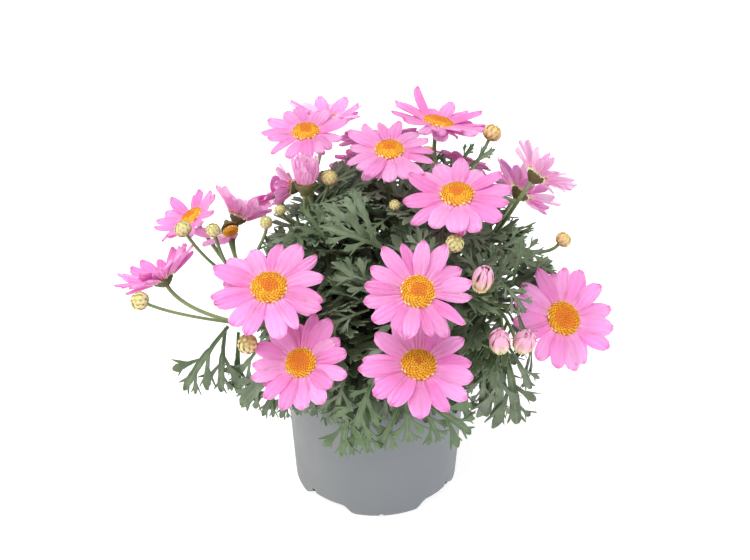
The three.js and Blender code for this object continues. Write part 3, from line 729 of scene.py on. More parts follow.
# The stalks that show in front of the leaves, and the share of its length from which each does.
SHOWN_STALKS = {
    "top_centre": 0.3, "half_open": 0.45, "far_right": 0.4, "far_left": 0.5, "low_left": 0.4, "right": 0.6,
}
STALK_ROOM = 4
STALK_GUARDS = 8
# The room round a flower: beside it, below it, and above it as a share of its radius.
PETAL_ROOM = 2
ROOM_BELOW = 3
ROOM_ABOVE = 0.8
# A flower's petals rise from this share of its radius outwards.
FLAT_SHARE = 0.3
# A flower that faces the viewer at least so much shows this share of its petals.
FACES_VIEWER = 0.2
PETALS_SHOWN = 0.96
BEHIND_FLOWER = 2
BUD_ROOM = 1.3
LOWEST_LEAF = 4
# Leaves stay out of the pot's wall: above its lip, outside it or well inside it.
ABOVE_LIP = 104
OUTSIDE_LIP = 62
INSIDE_LIP = 50


def is_free(spot):
    """True where a leaf neither cuts through a flower nor hides a flower, a bud or a tall stalk."""
    for point in stalk_guards:
        away = spot - point
        ahead = away.dot(TO_VIEWER)
        if ahead > 0 and (away - TO_VIEWER * ahead).length < STALK_ROOM:
            return False
    for middle, facing, radius, rise in flower_guards:
        away = spot - middle
        height = away.dot(facing)
        out = (away - facing * height).length
        above_petals = height - max(out - radius * FLAT_SHARE, 0) * rise
        if out < radius + PETAL_ROOM and -ROOM_BELOW < above_petals < radius * ROOM_ABOVE:
            return False
        if facing.dot(TO_VIEWER) > FACES_VIEWER:
            ahead = height / facing.dot(TO_VIEWER)
            if ahead > -BEHIND_FLOWER and (away - TO_VIEWER * ahead).length < radius * PETALS_SHOWN:
                return False
    for middle, radius in bud_guards:
        away = spot - middle
        ahead = away.dot(TO_VIEWER)
        if ahead > -radius and (away - TO_VIEWER * ahead).length < radius * BUD_ROOM:
            return False
    out = spot.xy.length
    return spot.z > LOWEST_LEAF and (spot.z > ABOVE_LIP or out > OUTSIDE_LIP or out < INSIDE_LIP)


# The points of a leaf that must be free: (share of its length, share of it to the side).
LEAF_PROBES = [
    (0.3, 0), (0.45, 0), (0.6, 0.18), (0.6, -0.18), (0.7, 0), (0.8, 0.2), (0.8, -0.2), (0.85, 0), (1, 0),
]
stalk_guards = [
    curve_at(flower_stalks[name], first + (1 - first) * step / STALK_GUARDS)[0]
    for name, first in SHOWN_STALKS.items() for step in range(STALK_GUARDS + 1)
]
BUSH_MIDDLE = Vector((16, 5, 135))
BUSH_REACH = Vector((98, 100, 88))


def in_bush(spot):
    """True inside the round bush that all leaves but the hanging ones make together."""
    away = spot - BUSH_MIDDLE
    return sum((away[axis] / BUSH_REACH[axis]) ** 2 for axis in range(3)) < 1


def leaf_frame(root, way, up):
    """Sets a flat piece at its root, with its length along a way and its face up."""
    side = up.cross(way).normalized()
    face = way.cross(side)
    return Matrix((
        (way.x, side.x, face.x, root.x),
        (way.y, side.y, face.y, root.y),
        (way.z, side.z, face.z, root.z),
        (0, 0, 0, 1),
    ))


def leaf_fits(matrix, length, arch):
    """True where the whole leaf is free and, unless it hangs, inside the bush."""
    bow = math.radians(LEAF_ARCHES[arch]) / length
    for along, across in LEAF_PROBES:
        angle = bow * along * length
        local = Vector((math.sin(angle) / bow, across * length, (math.cos(angle) - 1) / bow))
        spot = matrix @ local
        if not is_free(spot) or (arch not in ("draped", "drooping") and not in_bush(spot)):
            return False
    return True


def turned(way, degrees, spread):
    """The direction that opens by spread degrees from the way, turned round it by degrees."""
    side = way.orthogonal().normalized()
    side.rotate(Matrix.Rotation(math.radians(degrees), 3, way))
    opening = math.radians(spread)
    return (way * math.cos(opening) + side * math.sin(opening)).normalized()


# The leaves that stand out in the outline of the bush: (kind, foot, tip).
OUTER_LEAVES = [
    ("fingered", (-14, -70, 114), (-21, -72, 63)), ("fingered", (-7, -68, 114), (-5, -70, 64)),
    ("fingered", (18, -78, 115), (19, -74, 75)), ("strap", (17, -76, 110), (3, -72, 70)),
    ("fingered", (20, -76, 112), (58, -62, 73)), ("fingered", (25, -74, 106), (39, -68, 72)),
    ("strap", (36, -62, 108), (59, -52, 78)), ("strap", (-27, -70, 118), (-31, -72, 93)),
    ("strap", (5, -70, 119), (6, -74, 95)), ("strap", (-33, -68, 118), (-38, -70, 96)),
    ("feathered", (1, -75, 131), (-14, -74, 79)), ("feathered", (-17, -72, 129), (-25, -74, 89)),
    ("fingered", (-88, -50, 143), (-117, -52, 98)), ("fingered", (-90, -48, 141), (-95, -46, 93)),
    ("strap", (-83, -42, 134), (-85, -44, 91)), ("fingered", (-67, -50, 132), (-88, -50, 100)),
    ("broad", (-50, -52, 128), (-82, -60, 92)), ("fingered", (-48, -56, 124), (-69, -62, 86)),
    ("forked", (-42, -58, 118), (-58, -64, 86)), ("broad", (-34, -58, 114), (-48, -66, 90)),
    ("forked", (76, -50, 136), (87, -50, 72)), ("forked", (74, -52, 134), (75, -54, 79)),
    ("strap", (70, -48, 130), (68, -46, 75)), ("feathered", (66, -54, 130), (64, -56, 90)),
    ("strap", (79, -46, 128), (95, -44, 94)), ("broad", (84, -40, 150), (92, -46, 122)),
    ("broad", (-20, -54, 118), (-16, -70, 86)), ("broad", (-6, -56, 120), (2, -72, 88)),
    ("forked", (10, -58, 118), (12, -74, 88)), ("broad", (28, -56, 118), (30, -72, 88)),
    ("fingered", (-30, -52, 120), (-30, -70, 84)), ("broad", (44, -46, 116), (48, -62, 88)),
    ("feathered", (57, -40, 95), (56, -40, 75)), ("feathered", (63, -30, 178), (91, -20, 188)),
    ("feathered", (68, -20, 170), (104, -10, 172)), ("fingered", (81, -40, 166), (87, -36, 195)),
    ("strap", (65, -28, 173), (83, -26, 165)), ("fingered", (45, -30, 188), (70, -26, 190)),
    ("feathered", (70, -50, 178), (89, -50, 152)), ("strap", (54, 34, 204), (74, 34, 220)),
    ("strap", (51, 40, 203), (61, 38, 222)), ("feathered", (7, -48, 193), (-33, -52, 212)),
    ("fingered", (5, -46, 193), (-31, -42, 221)), ("strap", (1, -44, 193), (-14, -34, 227)),
    ("feathered", (5, -60, 167), (-26, -62, 194)), ("feathered", (-4, -66, 164), (-32, -70, 153)),
    ("feathered", (13, -20, 178), (36, -22, 199)), ("fingered", (-26, -30, 184), (-45, -26, 212)),
]
# Finer leaves grow high up, where the shoots are young.
LEAF_KINDS_HIGH = ("fingered", "feathered", "strap", "feathered", "forked")
YOUNG_HEIGHT = 150
leaf_places = {name: [] for name in SHOOTS}
luck = random.Random(7)


def nearest_shoot(spot):
    return min(SHOOTS, key=lambda name: (Vector(SHOOTS[name]) - spot).length)


def set_leaf(shoot, root, ways, length, arch, tone):
    """Sets a leaf the first of these ways in which it fits, if there is one."""
    kind = luck.choice(LEAF_KINDS_HIGH if root.z > YOUNG_HEIGHT else list(LEAF_FINGERS))
    for way in ways:
        up = (Vector((0, 0, 1)) + way * 0.2).normalized()
        if abs(way.dot(up)) > 0.97:
            up = Vector((0, -1, 0.3)).normalized()
        frame_of_leaf = leaf_frame(root, way, up)
        if leaf_fits(frame_of_leaf, length, arch):
            leaf_places[shoot].append((kind, arch, frame_of_leaf, length, tone))
            return


# A ring of leaves grows out all round just above the pot, and hangs over its lip.
RIM_LEAVES = 54
RIM_FOOT_REACH = (38, 50)
RIM_FOOT_HEIGHT = (116, 126)
RIM_TIP_REACH = (65, 71)
RIM_TIP_HEIGHT = (82, 97)
RIM_KINDS = ("broad", "fingered", "feathered", "forked")
for index in range(RIM_LEAVES):
    towards = 360 * index / RIM_LEAVES
    foot = leaning(towards + luck.uniform(-14, 14), 90) * luck.uniform(*RIM_FOOT_REACH)
    foot.z = luck.uniform(*RIM_FOOT_HEIGHT)
    tip = leaning(towards + luck.uniform(-5, 5), 90) * luck.uniform(*RIM_TIP_REACH)
    tip.z = luck.uniform(*RIM_TIP_HEIGHT)
    kind = luck.choice(RIM_KINDS)
    OUTER_LEAVES.append((kind, foot, tip))

# The longest leaves that hang in front of the pot are of a fresher green.
FRESH_LEAF_HEIGHT = 80
FRESH_LEAF_SIDE = 40
FRESH_LEAF_TONE = 0.95
for kind, foot, tip in OUTER_LEAVES:
    foot, tip = Vector(foot), Vector(tip)
    arch = "bowed"
    half = math.radians(LEAF_ARCHES[arch] / 2)
    chord = (tip - foot).normalized()
    side = (TO_VIEWER + Vector((0, 0, 0.35))).cross(chord).normalized()
    way = chord.copy()
    way.rotate(Matrix.Rotation(-half, 3, side))
    length = (tip - foot).length * half / math.sin(half)
    matrix = leaf_frame(foot, way, way.cross(side))
    fresh = tip.z < FRESH_LEAF_HEIGHT and abs(foot.x) < FRESH_LEAF_SIDE
    tone = FRESH_LEAF_TONE if fresh else luck.uniform(0, 0.5)
    leaf_places[nearest_shoot(foot)].append((kind, arch, matrix, length, tone))

GOLDEN_ANGLE = 137.5
# Leaves along each shoot's axis stand out low down and lean inwards higher up.
AXIS_LEAVES = 26
AXIS_LEAF_LENGTH = 70
AXIS_LEAF_LOSS = 0.2
LEAN_AT_FOOT = 80
LEAN_AT_FORK = 40
# Leaves on a stalk are set at even steps up to three quarters of its length, and get shorter.
STALK_LEAVES = 8
STALK_LEAF_START = 0.03
STALK_LEAF_STEP = 0.1
STALK_LEAF_LENGTH = 62
STALK_LEAF_LOSS = 30
STALK_LEAF_SPREAD = (34, 62)
SHORTEST_REACH = 14
# Leaves of the skirt reach out past the pot's lip and hang down.
SKIRT_LEAVES = 66
SKIRT_REACH = (68, 80)
SHORTEST_SKIRT_LEAF = 38
SKIRT_DRAPE = 0.85
# The turns tried in order, in degrees, until a leaf hides and cuts nothing.
AXIS_LEAF_TURNS = (0, 25, -25, 50, -50, 80, -80, 120, 160)
STALK_LEAF_TURNS = (0, 30, -30, 60, -60, 100, 140, 180)
SKIRT_LEAF_TURNS = (0, 8, -8, 16, -16, 28, -28)
for number, (name, fork) in enumerate(SHOOTS.items()):
    fork = Vector(fork)
    start = CROWN + limb_way(name) * (LIMB_LENGTH - 10)
    for index in range(AXIS_LEAVES):
        share = (index + 0.5) / AXIS_LEAVES
        root = start.lerp(fork, share)
        spread = LEAN_AT_FOOT - (LEAN_AT_FOOT - LEAN_AT_FORK) * share + luck.uniform(-10, 10)
        turn = GOLDEN_ANGLE * index + 40 * number
        ways = [leaning(turn + extra, spread) for extra in AXIS_LEAF_TURNS]
        length = AXIS_LEAF_LENGTH * (1 - AXIS_LEAF_LOSS * share) * luck.uniform(0.8, 1.08)
        set_leaf(name, root, ways, length, "bowed" if share < 0.6 else "straight", luck.uniform(0, 0.5))
stalk_ways = [(FLOWERS[name][0], way) for name, way in flower_stalks.items()] + bud_stalks
for number, (shoot, way) in enumerate(stalk_ways):
    reach = (way[3] - way[0]).length
    for index in range(STALK_LEAVES):
        share = STALK_LEAF_START + STALK_LEAF_STEP * index
        if reach * (1 - share) < SHORTEST_REACH:
            continue
        root, along = curve_at(way, share)
        spread = luck.uniform(*STALK_LEAF_SPREAD)
        turn = GOLDEN_ANGLE * index + 55 * number
        ways = [turned(along, turn + extra, spread) for extra in STALK_LEAF_TURNS]
        length = (STALK_LEAF_LENGTH - STALK_LEAF_LOSS * share) * luck.uniform(0.75, 1.1)
        set_leaf(shoot, root, ways, length, luck.choice(["straight", "bowed"]), luck.uniform(0.1, 0.75))
for index in range(SKIRT_LEAVES):
    towards = 360 * index / SKIRT_LEAVES + luck.uniform(-4, 4)
    out = leaning(towards, 90)
    shoot = max(SHOOTS, key=lambda name: Vector(SHOOTS[name]).xy.normalized().dot(out.xy))
    start = CROWN + limb_way(shoot) * (LIMB_LENGTH - 10)
    root = start.lerp(Vector(SHOOTS[shoot]), luck.uniform(0.05, 0.45))
    ways = [leaning(towards + extra, luck.uniform(78, 98)) for extra in SKIRT_LEAF_TURNS]
    length = max(luck.uniform(*SKIRT_REACH) - root.dot(out), SHORTEST_SKIRT_LEAF) / SKIRT_DRAPE
    arch = luck.choice(["draped", "draped", "drooping"])
    set_leaf(shoot, root, ways, length, arch, luck.uniform(0.05, 0.5))



def own_map_on(tree):
    """A flat piece's own map, with the share along the piece and the share across it."""
    own_map = add_node(tree, "ShaderNodeUVMap").outputs["UV"]
    parts_of_map = add_node(tree, "ShaderNodeSeparateXYZ", {0: own_map})
    return own_map, parts_of_map.outputs["X"], parts_of_map.outputs["Y"]


def from_rib_on(tree, across):
    return sum_on(tree, "ABSOLUTE", sum_on(tree, "SUBTRACT", across, 0.5), 0.0)


leaf_skin, tree, surface = new_material("leaf_skin", 0.44, 0.55)
place = object_place(tree)
tone = tone_on(tree)
_, _, across = own_map_on(tree)
from_rib = from_rib_on(tree, across)
green_stops = [(0.0, (0.085, 0.12, 0.055)), (0.6, (0.165, 0.21, 0.135)), (1.0, (0.085, 0.15, 0.05))]
green = ramp_on(tree, tone, green_stops)
bloom = ramp_on(tree, noise_on(tree, place, 120.0), [(0.35, (0.7, 0.74, 0.68)), (0.7, (1.3, 1.26, 1.32))])
green = mix_on(tree, "MULTIPLY", 1.0, green, bloom)
rib = ramp_on(tree, from_rib, [(0.0, (1, 1, 1)), (0.014, (0, 0, 0))])
green = mix_on(tree, "MIX", sum_on(tree, "MULTIPLY", rib, 0.45), green, (0.2, 0.28, 0.14))
tree.links.new(green, surface.inputs["Base Color"])
let_light_through(surface, 0.2, (0.0008, 0.002, 0.0004), 1.0)
add_bump(tree, surface, noise_on(tree, place, 500.0), 0.0003)
for name, places in leaf_places.items():
    parts = []
    for kind, arch, matrix, length, tone in places:
        turn = matrix.to_3x3().to_4x4()
        laid = Matrix.Translation(matrix.translation * MM) @ turn @ Matrix.Scale(length * MM, 4)
        parts.append(copy_of(leaf_templates[kind, arch], laid, tone))
    leaves = join_pieces("leaves_" + name, parts)
    leaves.data.materials.clear()
    leaves.data.materials.append(leaf_skin)
    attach(leaves, "root")
    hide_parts("shoot_" + name)
for template in leaf_templates.values():
    bpy.data.objects.remove(template)

# Ray petals: soft pink blades with two furrows along them and a tip of three shallow teeth.
# They stand in one ring under the disc; no two of them have quite the same length or curl.
PETAL_ROWS = [0, 0.12, 0.27, 0.44, 0.62, 0.78, 0.9, 0.97, 1.0]
PETAL_ROW_WIDTHS = [0.085, 0.11, 0.143, 0.168, 0.172, 0.15, 0.112, 0.073, 0.038]
PETAL_RIBS = (-0.035, 0.02, -0.014, 0.026, -0.014, 0.02, -0.035)
PETAL_TEETH = (-0.045, -0.01, -0.028, 0.002, -0.028, -0.01, -0.045)
PETAL_COLUMNS = len(PETAL_RIBS)
PETAL_TEETH_FROM = 0.95
PETAL_THICKNESS = 0.014
# Each kind of petal: how far it arches down, how far its tip twists, and its width.
PETAL_KINDS = {
    "level": (8, 0, 1.08), "curled_down": (36, 8, 1.05), "curled_up": (-24, -6, 1),
    "twisted": (14, 40, 0.95), "broad": (18, -8, 1.22), "slim": (24, -24, 0.78),
    "bud": (60, 0, 1.45), "closing": (-16, 0, 1.15),
}


def twist_piece(piece, rows, degrees):
    """Twists a piece about its length bit by bit, from its first row to its tip."""
    open_piece(piece)
    shape = bmesh.from_edit_mesh(piece.data)
    beyond = [{vert.index for vert in shape.verts if vert.co.x > row - 1e-4} for row in rows]
    for row, group in zip(rows, beyond):
        pick(piece, "verts", lambda vert: vert.index in group)
        bpy.ops.transform.rotate(
            value=math.radians(degrees / len(rows)), orient_axis="X", center_override=(0, 0, 0)
        )
    close_piece()


petal_templates = {}
for kind, (arch, twist, width) in PETAL_KINDS.items():
    half_widths = [half * width for half in PETAL_ROW_WIDTHS]
    petal = new_strip("petal_" + kind, PETAL_ROWS, half_widths, PETAL_COLUMNS - 1)
    shape = bmesh.from_edit_mesh(petal.data)
    columns = [set() for _ in range(PETAL_COLUMNS)]
    tips = [set() for _ in range(PETAL_COLUMNS)]
    for row, half in zip(PETAL_ROWS, half_widths):
        for vert in shape.verts:
            if abs(vert.co.x - row) < 1e-4:
                column = round((vert.co.y / half + 1) * (PETAL_COLUMNS - 1) / 2)
                columns[column].add(vert.index)
                if row > PETAL_TEETH_FROM:
                    tips[column].add(vert.index)
    for column in range(PETAL_COLUMNS):
        pick(petal, "verts", lambda vert: vert.index in columns[column])
        bpy.ops.transform.translate(value=(0, 0, PETAL_RIBS[column]))
        pick(petal, "verts", lambda vert: vert.index in tips[column])
        bpy.ops.transform.translate(value=(PETAL_TEETH[column], 0, 0))
    close_piece()
    lay_map(petal, 2 * max(PETAL_ROW_WIDTHS) * width)
    arch_piece(petal, PETAL_ROWS[1:-2], arch)
    twist_piece(petal, PETAL_ROWS[3:-2], twist)
    finish_with(petal, "SOLIDIFY", thickness=PETAL_THICKNESS, offset=0)
    bpy.ops.object.shade_smooth_by_angle(angle=math.radians(70))
    petal_templates[kind] = petal


def axis_frame(middle, facing, turn=0.0):
    """Turns local +Z to where a flower or bud faces, at its middle, and spins it by turn."""
    spin = Vector((0, 0, 1)).rotation_difference(facing).to_matrix().to_4x4()
    return Matrix.Translation(Vector(middle) * MM) @ spin @ Matrix.Rotation(turn, 4, "Z")


def streaks_on(tree, own_map):
    """The petal's map, stretched so that a noise on it runs in fine streaks from foot to tip."""
    return add_node(tree, "ShaderNodeMapping", {"Vector": own_map, "Scale": (2.0, 26.0, 1.0)}).outputs[0]


# Two furrows between three ridges: three whole waves across a petal, for the painted shade along the furrows.
FURROW_WAVES = 18.85
petal_skin, tree, surface = new_material("petal_skin", 0.6, 0.25)
own_map, along, across = own_map_on(tree)
tone = tone_on(tree)
# Cream at the very root, then a deeper pink over the lower third of the petal that is painted shade next to
# the disc, lighter pink further out and darker again at the tip.
pink = ramp_on(tree, along, [
    (0.0, (0.92, 0.75, 0.5)), (0.1, (0.88, 0.33, 0.55)), (0.28, (0.86, 0.25, 0.545)),
    (0.55, (0.87, 0.295, 0.6)), (0.88, (0.89, 0.345, 0.65)), (1.0, (0.83, 0.22, 0.51)),
])
stretched = streaks_on(tree, own_map)
vein_stops = [(0.35, (0.96, 0.88, 0.93)), (0.65, (1.02, 1.06, 1.04))]
veins = ramp_on(tree, noise_on(tree, stretched, 1.0, 2.0), vein_stops)
pink = mix_on(tree, "MULTIPLY", 0.9, pink, veins)
# Painted shade: the petal's colour is darkened along its two furrows.
ridges = sum_on(tree, "COSINE", sum_on(tree, "MULTIPLY", across, FURROW_WAVES), 0.0)
painted_furrow_shade = ramp_on(tree, ridges, [(0.0, (0.96, 0.9, 0.94)), (0.6, (1, 1, 1))])
pink = mix_on(tree, "MULTIPLY", 1.0, pink, painted_furrow_shade)
# Each petal is a little darker or paler at random; the paleness added for some flowers is painted light.
random_tone_and_painted_light = ramp_on(tree, sum_on(tree, "MULTIPLY", tone, 0.5), [
    (0.0, (0.9, 0.74, 0.84)), (0.25, (0.98, 0.98, 0.98)), (0.5, (1, 1.12, 1.06)), (0.6, (1, 1.45, 1.14)),
    (1.0, (1, 1.9, 1.25)),
])
pink = mix_on(tree, "MULTIPLY", 1.0, pink, random_tone_and_painted_light)
tree.links.new(pink, surface.inputs["Base Color"])
tree.links.new(pink, surface.inputs["Emission Color"])
# Painted light: the petals glow with their own colour, the pale ones more, standing in for light coming
# through the thin petals; the subsurface below also lets some real light through.
painted_glow = sum_on(tree, "SUBTRACT", sum_on(tree, "MULTIPLY", tone, 0.26), 0.14)
tree.links.new(sum_on(tree, "MAXIMUM", painted_glow, 0.08), surface.inputs["Emission Strength"])
let_light_through(surface, 0.5, (0.0035, 0.0012, 0.0025), 1.0)
add_bump(tree, surface, noise_on(tree, stretched, 1.6, 2.0), 0.0003)

DISC_SHARE = 0.31
PETAL_FOOT_SHARE = 0.72
# A few more petals grow under the ring, shorter and lower than the others.
UNDER_PETALS = 4
UNDER_PETAL_DROP = 8
UNDER_LAYER = -1.3
# The petals of the ring lie in two layers, in millimetres from the flower's middle.
RING_LAYER = -0.5
LAYER_STEP = 0.7
# The share of petals that are short, and how long and wide petals are as shares of their room.
SHORT_PETALS = 0.12
SHORT_PETAL_LENGTHS = (0.7, 0.86)
PETAL_LENGTHS = (0.9, 1.05)
PETAL_WIDTHS = (0.88, 1.1)
WIDEST_PETAL = 1.35
# So that the petals of a full ring just overlap: the count at which their width share is one.
FULL_RING = 16.5
USUAL_PETALS = ["level"] * 4 + ["curled_down"] * 2 + ["curled_up"] + ["twisted"] + ["broad"] * 3 + ["slim"]
PETALS_LIKE = {
    "half_open": ["closing"],
    "faded": ["slim", "curled_down"],
    "far_right": ["slim", "level"],
    "far_left": ["slim", "level", "slim", "curled_up"],
    "low_left": ["level", "slim", "curled_up", "level"],
}
# How much paler than the rest these flowers are. On far_right and far_right_rear this paleness is painted
# light through their back-lit petals, and on half_open_rear it is painted light on petals that lie in shade.
PALENESS_PARTLY_PAINTED_LIGHT = {
    "half_open": 0.35, "half_open_rear": 0.5, "far_right": 1, "far_right_rear": 0.8,
    "faded": 0.3, "top_left_rear": 0.5, "left_rear": 0.3,
}


def is_shed(flower, way):
    """True for the petals that the faded flower has lost: all but those that hang at its left."""
    return flower == "faded" and (way.x >= 0.1 or way.z + way.y / 2 >= 0.3)


luck = random.Random(23)
for name, (_, middle, towards, lean, radius, count, rise) in FLOWERS.items():
    flower_frame = axis_frame(middle, leaning(towards, lean), luck.uniform(0, 1))
    root_radius = radius * DISC_SHARE * PETAL_FOOT_SHARE
    room = radius - root_radius
    parts = []
    for index in range(count + UNDER_PETALS):
        under = index >= count
        angle = math.tau * (index + luck.uniform(-0.2, 0.2)) / count
        if under:
            angle = luck.uniform(0, math.tau)
        short = under or luck.random() < SHORT_PETALS
        length = room * luck.uniform(*(SHORT_PETAL_LENGTHS if short else PETAL_LENGTHS))
        width = min(WIDEST_PETAL, FULL_RING / count) * luck.uniform(*PETAL_WIDTHS) * room / length
        pitch = -math.radians(rise + luck.uniform(-6, 6) - (UNDER_PETAL_DROP if under else 0))
        layer = UNDER_LAYER if under else RING_LAYER + LAYER_STEP * (index % 2)
        set_here = (
            Matrix.Rotation(angle, 4, "Z")
            @ Matrix.Translation((root_radius * MM, 0, layer * MM))
            @ Matrix.Rotation(pitch, 4, "Y")
            @ Matrix.Rotation(luck.uniform(-0.2, 0.2), 4, "X")
            @ Matrix.Diagonal((length * MM, length * width * MM, length * MM, 1))
        )
        kind = luck.choice(PETALS_LIKE.get(name, USUAL_PETALS))
        # The tone carries each flower's paleness, partly painted light, into its petals' colour and glow.
        tone_here = luck.random() + PALENESS_PARTLY_PAINTED_LIGHT.get(name, 0)
        way = (flower_frame @ set_here).to_3x3().col[0].normalized()
        if not is_shed(name, way):
            parts.append(copy_of(petal_templates[kind], flower_frame @ set_here, tone_here))
    rays = join_pieces("rays_" + name, parts)
    rays.data.materials.clear()
    rays.data.materials.append(petal_skin)
    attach(rays, "root")
    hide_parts("petals_" + name)

# Disc of florets: a hundred and fifty tiny tube flowers on a low cushion. The outer ones are open
# yellow stars, the inner ones are still tight orange buds set in spirals.
FLORET_COUNT = 150
DISC_RISE = 0.42
CUSHION_RISE = DISC_RISE * 0.8
CUSHION_RADIUS = 0.97
# Florets lean out less than the cushion falls. They get bigger towards the edge.
FLORETS_REACH = 0.95
FLORET_LEAN = 0.8
FLORET_SIZE = 0.068
FLORET_GROWTH = 0.03
# For each age of disc: the share of its radius that is still closed.
DISC_AGES = {"young": 0.66, "ripe": 0.48, "old": 0.22}
OLD_FLOWERS = ("front_low",)
YOUNG_FLOWERS = ("front_low_left", "right", "top_right", "half_open", "half_open_rear")
SMALL_DISCS = {"half_open": 0.6, "faded": 0.7}
DISC_LIFT = 0.3

bpy.ops.object.select_all(action="DESELECT")
bpy.ops.mesh.primitive_uv_sphere_add(segments=6, ring_count=4, radius=1)
closed_floret = bpy.context.object
closed_floret.name = "closed_floret"
open_piece(closed_floret)
pick(closed_floret, "verts", lambda vert: vert.co.z > 0.99)
bpy.ops.transform.translate(value=(0, 0, -0.45))
close_piece()
bpy.ops.object.shade_smooth()

bpy.ops.object.select_all(action="DESELECT")
bpy.ops.mesh.primitive_circle_add(vertices=10, radius=0.55, fill_type="NOTHING", location=(0, 0, -1.2))
bpy.ops.object.transform_apply(location=True, rotation=False, scale=False)
open_floret = bpy.context.object
open_floret.name = "open_floret"
open_piece(open_floret)
pick(open_floret, "edges", lambda edge: True)
bpy.ops.mesh.extrude_region_move(TRANSFORM_OT_translate={"value": (0, 0, 1.6)})
bpy.ops.transform.resize(value=(1.25, 1.25, 1), center_override=(0, 0, 0.4))
bpy.ops.mesh.extrude_region_move(TRANSFORM_OT_translate={"value": (0, 0, 0.25)})
bpy.ops.transform.resize(value=(1.7, 1.7, 1), center_override=(0, 0, 0.65))
pick(
    open_floret,
    "verts",
    lambda vert: vert.co.z > 0.6 and round(math.atan2(vert.co.y, vert.co.x) / math.tau * 10) % 2,
)
bpy.ops.transform.resize(value=(0.5, 0.5, 1), center_override=(0, 0, 0.65))
pick(open_floret, "edges", lambda edge: edge.is_boundary and middle_of(edge).z > 0.5)
bpy.ops.mesh.extrude_region_move(TRANSFORM_OT_translate={"value": (0, 0, -0.35)})
bpy.ops.transform.resize(value=(0.3, 0.3, 1), center_override=(0, 0, 0.3))
bpy.ops.mesh.extrude_region_move(TRANSFORM_OT_translate={"value": (0, 0, 0.9)})
bpy.ops.mesh.edge_collapse()
pick(open_floret, "edges", lambda edge: edge.is_boundary)
bpy.ops.mesh.edge_face_add()
bpy.ops.mesh.select_all(action="SELECT")
bpy.ops.mesh.normals_make_consistent(inside=False)
close_piece()

floret_skin, tree, surface = new_material("floret_skin", 0.55, 0.3)
place = object_place(tree)
tone = tone_on(tree)
gold = ramp_on(tree, tone, [
    (0.0, (0.3, 0.09, 0.01)), (0.15, (0.72, 0.21, 0.02)), (0.45, (0.82, 0.26, 0.02)),
    (0.6, (0.88, 0.4, 0.02)), (0.85, (0.95, 0.56, 0.05)), (0.95, (0.95, 0.8, 0.42)),
])
dust = ramp_on(tree, noise_on(tree, place, 1500.0), [(0.3, (0.75, 0.7, 0.6)), (0.7, (1.15, 1.15, 1.1))])
tree.links.new(mix_on(tree, "MULTIPLY", 1.0, gold, dust), surface.inputs["Base Color"])
let_light_through(surface, 0.2, (0.001, 0.0005, 0.0002))
add_bump(tree, surface, noise_on(tree, place, 1800.0), 0.0002)

disc_templates = {}
luck = random.Random(31)
for age, closed_share in DISC_AGES.items():
    bpy.ops.object.select_all(action="DESELECT")
    bpy.ops.mesh.primitive_uv_sphere_add(segments=24, ring_count=12, radius=1)
    cushion = bpy.context.object
    open_piece(cushion)
    bpy.ops.mesh.select_all(action="SELECT")
    bpy.ops.mesh.bisect(plane_co=(0, 0, 0), plane_no=(0, 0, 1), clear_inner=True, use_fill=True)
    bpy.ops.mesh.select_all(action="SELECT")
    bpy.ops.transform.resize(value=(CUSHION_RADIUS, CUSHION_RADIUS, CUSHION_RISE), center_override=(0, 0, 0))
    close_piece()
    bpy.ops.object.shade_smooth_by_angle(angle=math.radians(60))
    parts = [copy_of(cushion, Matrix.Identity(4), 0.08)]
    for index in range(FLORET_COUNT):
        out = math.sqrt((index + 0.5) / FLORET_COUNT)
        angle = math.radians(GOLDEN_ANGLE * index)
        steep = math.asin(min(out, 0.98))
        facing = Vector((math.sin(steep * FLORET_LEAN), 0, math.cos(steep * FLORET_LEAN)))
        spot = Vector((out * FLORETS_REACH, 0, CUSHION_RISE * math.cos(steep)))
        size = FLORET_SIZE + FLORET_GROWTH * out
        closed = out < closed_share + luck.uniform(-0.05, 0.05)
        if closed:
            tone_here = 0.2 + 0.3 * out / closed_share + luck.uniform(-0.05, 0.05)
            template, size = closed_floret, size * 0.95
        else:
            tone_here = luck.uniform(0.62, 0.86) if out < 0.93 else luck.uniform(0.84, 1.0)
            template, size = open_floret, size * luck.uniform(0.75, 1.0)
        tilt = Vector((0, 0, 1)).rotation_difference(facing).to_matrix().to_4x4()
        spin = Matrix.Rotation(angle, 4, "Z") @ Matrix.Translation(spot) @ tilt
        parts.append(copy_of(template, spin @ Matrix.Scale(size, 4), tone_here))
    disc_templates[age] = join_pieces("disc_" + age, parts)
    bpy.data.objects.remove(cushion)
bpy.data.objects.remove(closed_floret)
bpy.data.objects.remove(open_floret)

for name, (_, middle, towards, lean, radius, _, _) in FLOWERS.items():
    age = "old" if name in OLD_FLOWERS else "young" if name in YOUNG_FLOWERS else "ripe"
    facing = leaning(towards, lean)
    size = radius * DISC_SHARE * SMALL_DISCS.get(name, 1)
    matrix = axis_frame(Vector(middle) + facing * DISC_LIFT, facing, luck.uniform(0, math.tau))
    mesh = disc_templates[age].data.copy()
    mesh.transform(matrix @ Matrix.Scale(size * MM, 4))
    florets = bpy.data.objects.new("florets_" + name, mesh)
    bpy.context.scene.collection.objects.link(florets)
    mesh.materials.clear()
    mesh.materials.append(floret_skin)
    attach(florets, "root")
    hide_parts("disc_" + name)
for template in disc_templates.values():
    bpy.data.objects.remove(template)

# Green cups and closed buds: small scales laid over one another like roof tiles. Every scale is
# green down its middle and has a thin papery edge. In a bud they close over the folded petals.
CUP_RINGS = [(0.24, -1), (0.52, -0.74), (0.82, -0.34), (1, 0)]
SCALE_ROWS = [0, 0.3, 0.6, 0.85, 1.0]
SCALE_WIDTHS = [0.26, 0.3, 0.28, 0.19, 0.07]
CUP_SIDES = 18
CUP_SHARE = 0.24
CUP_DEPTH = 5.2
CUP_DROP = 0.9
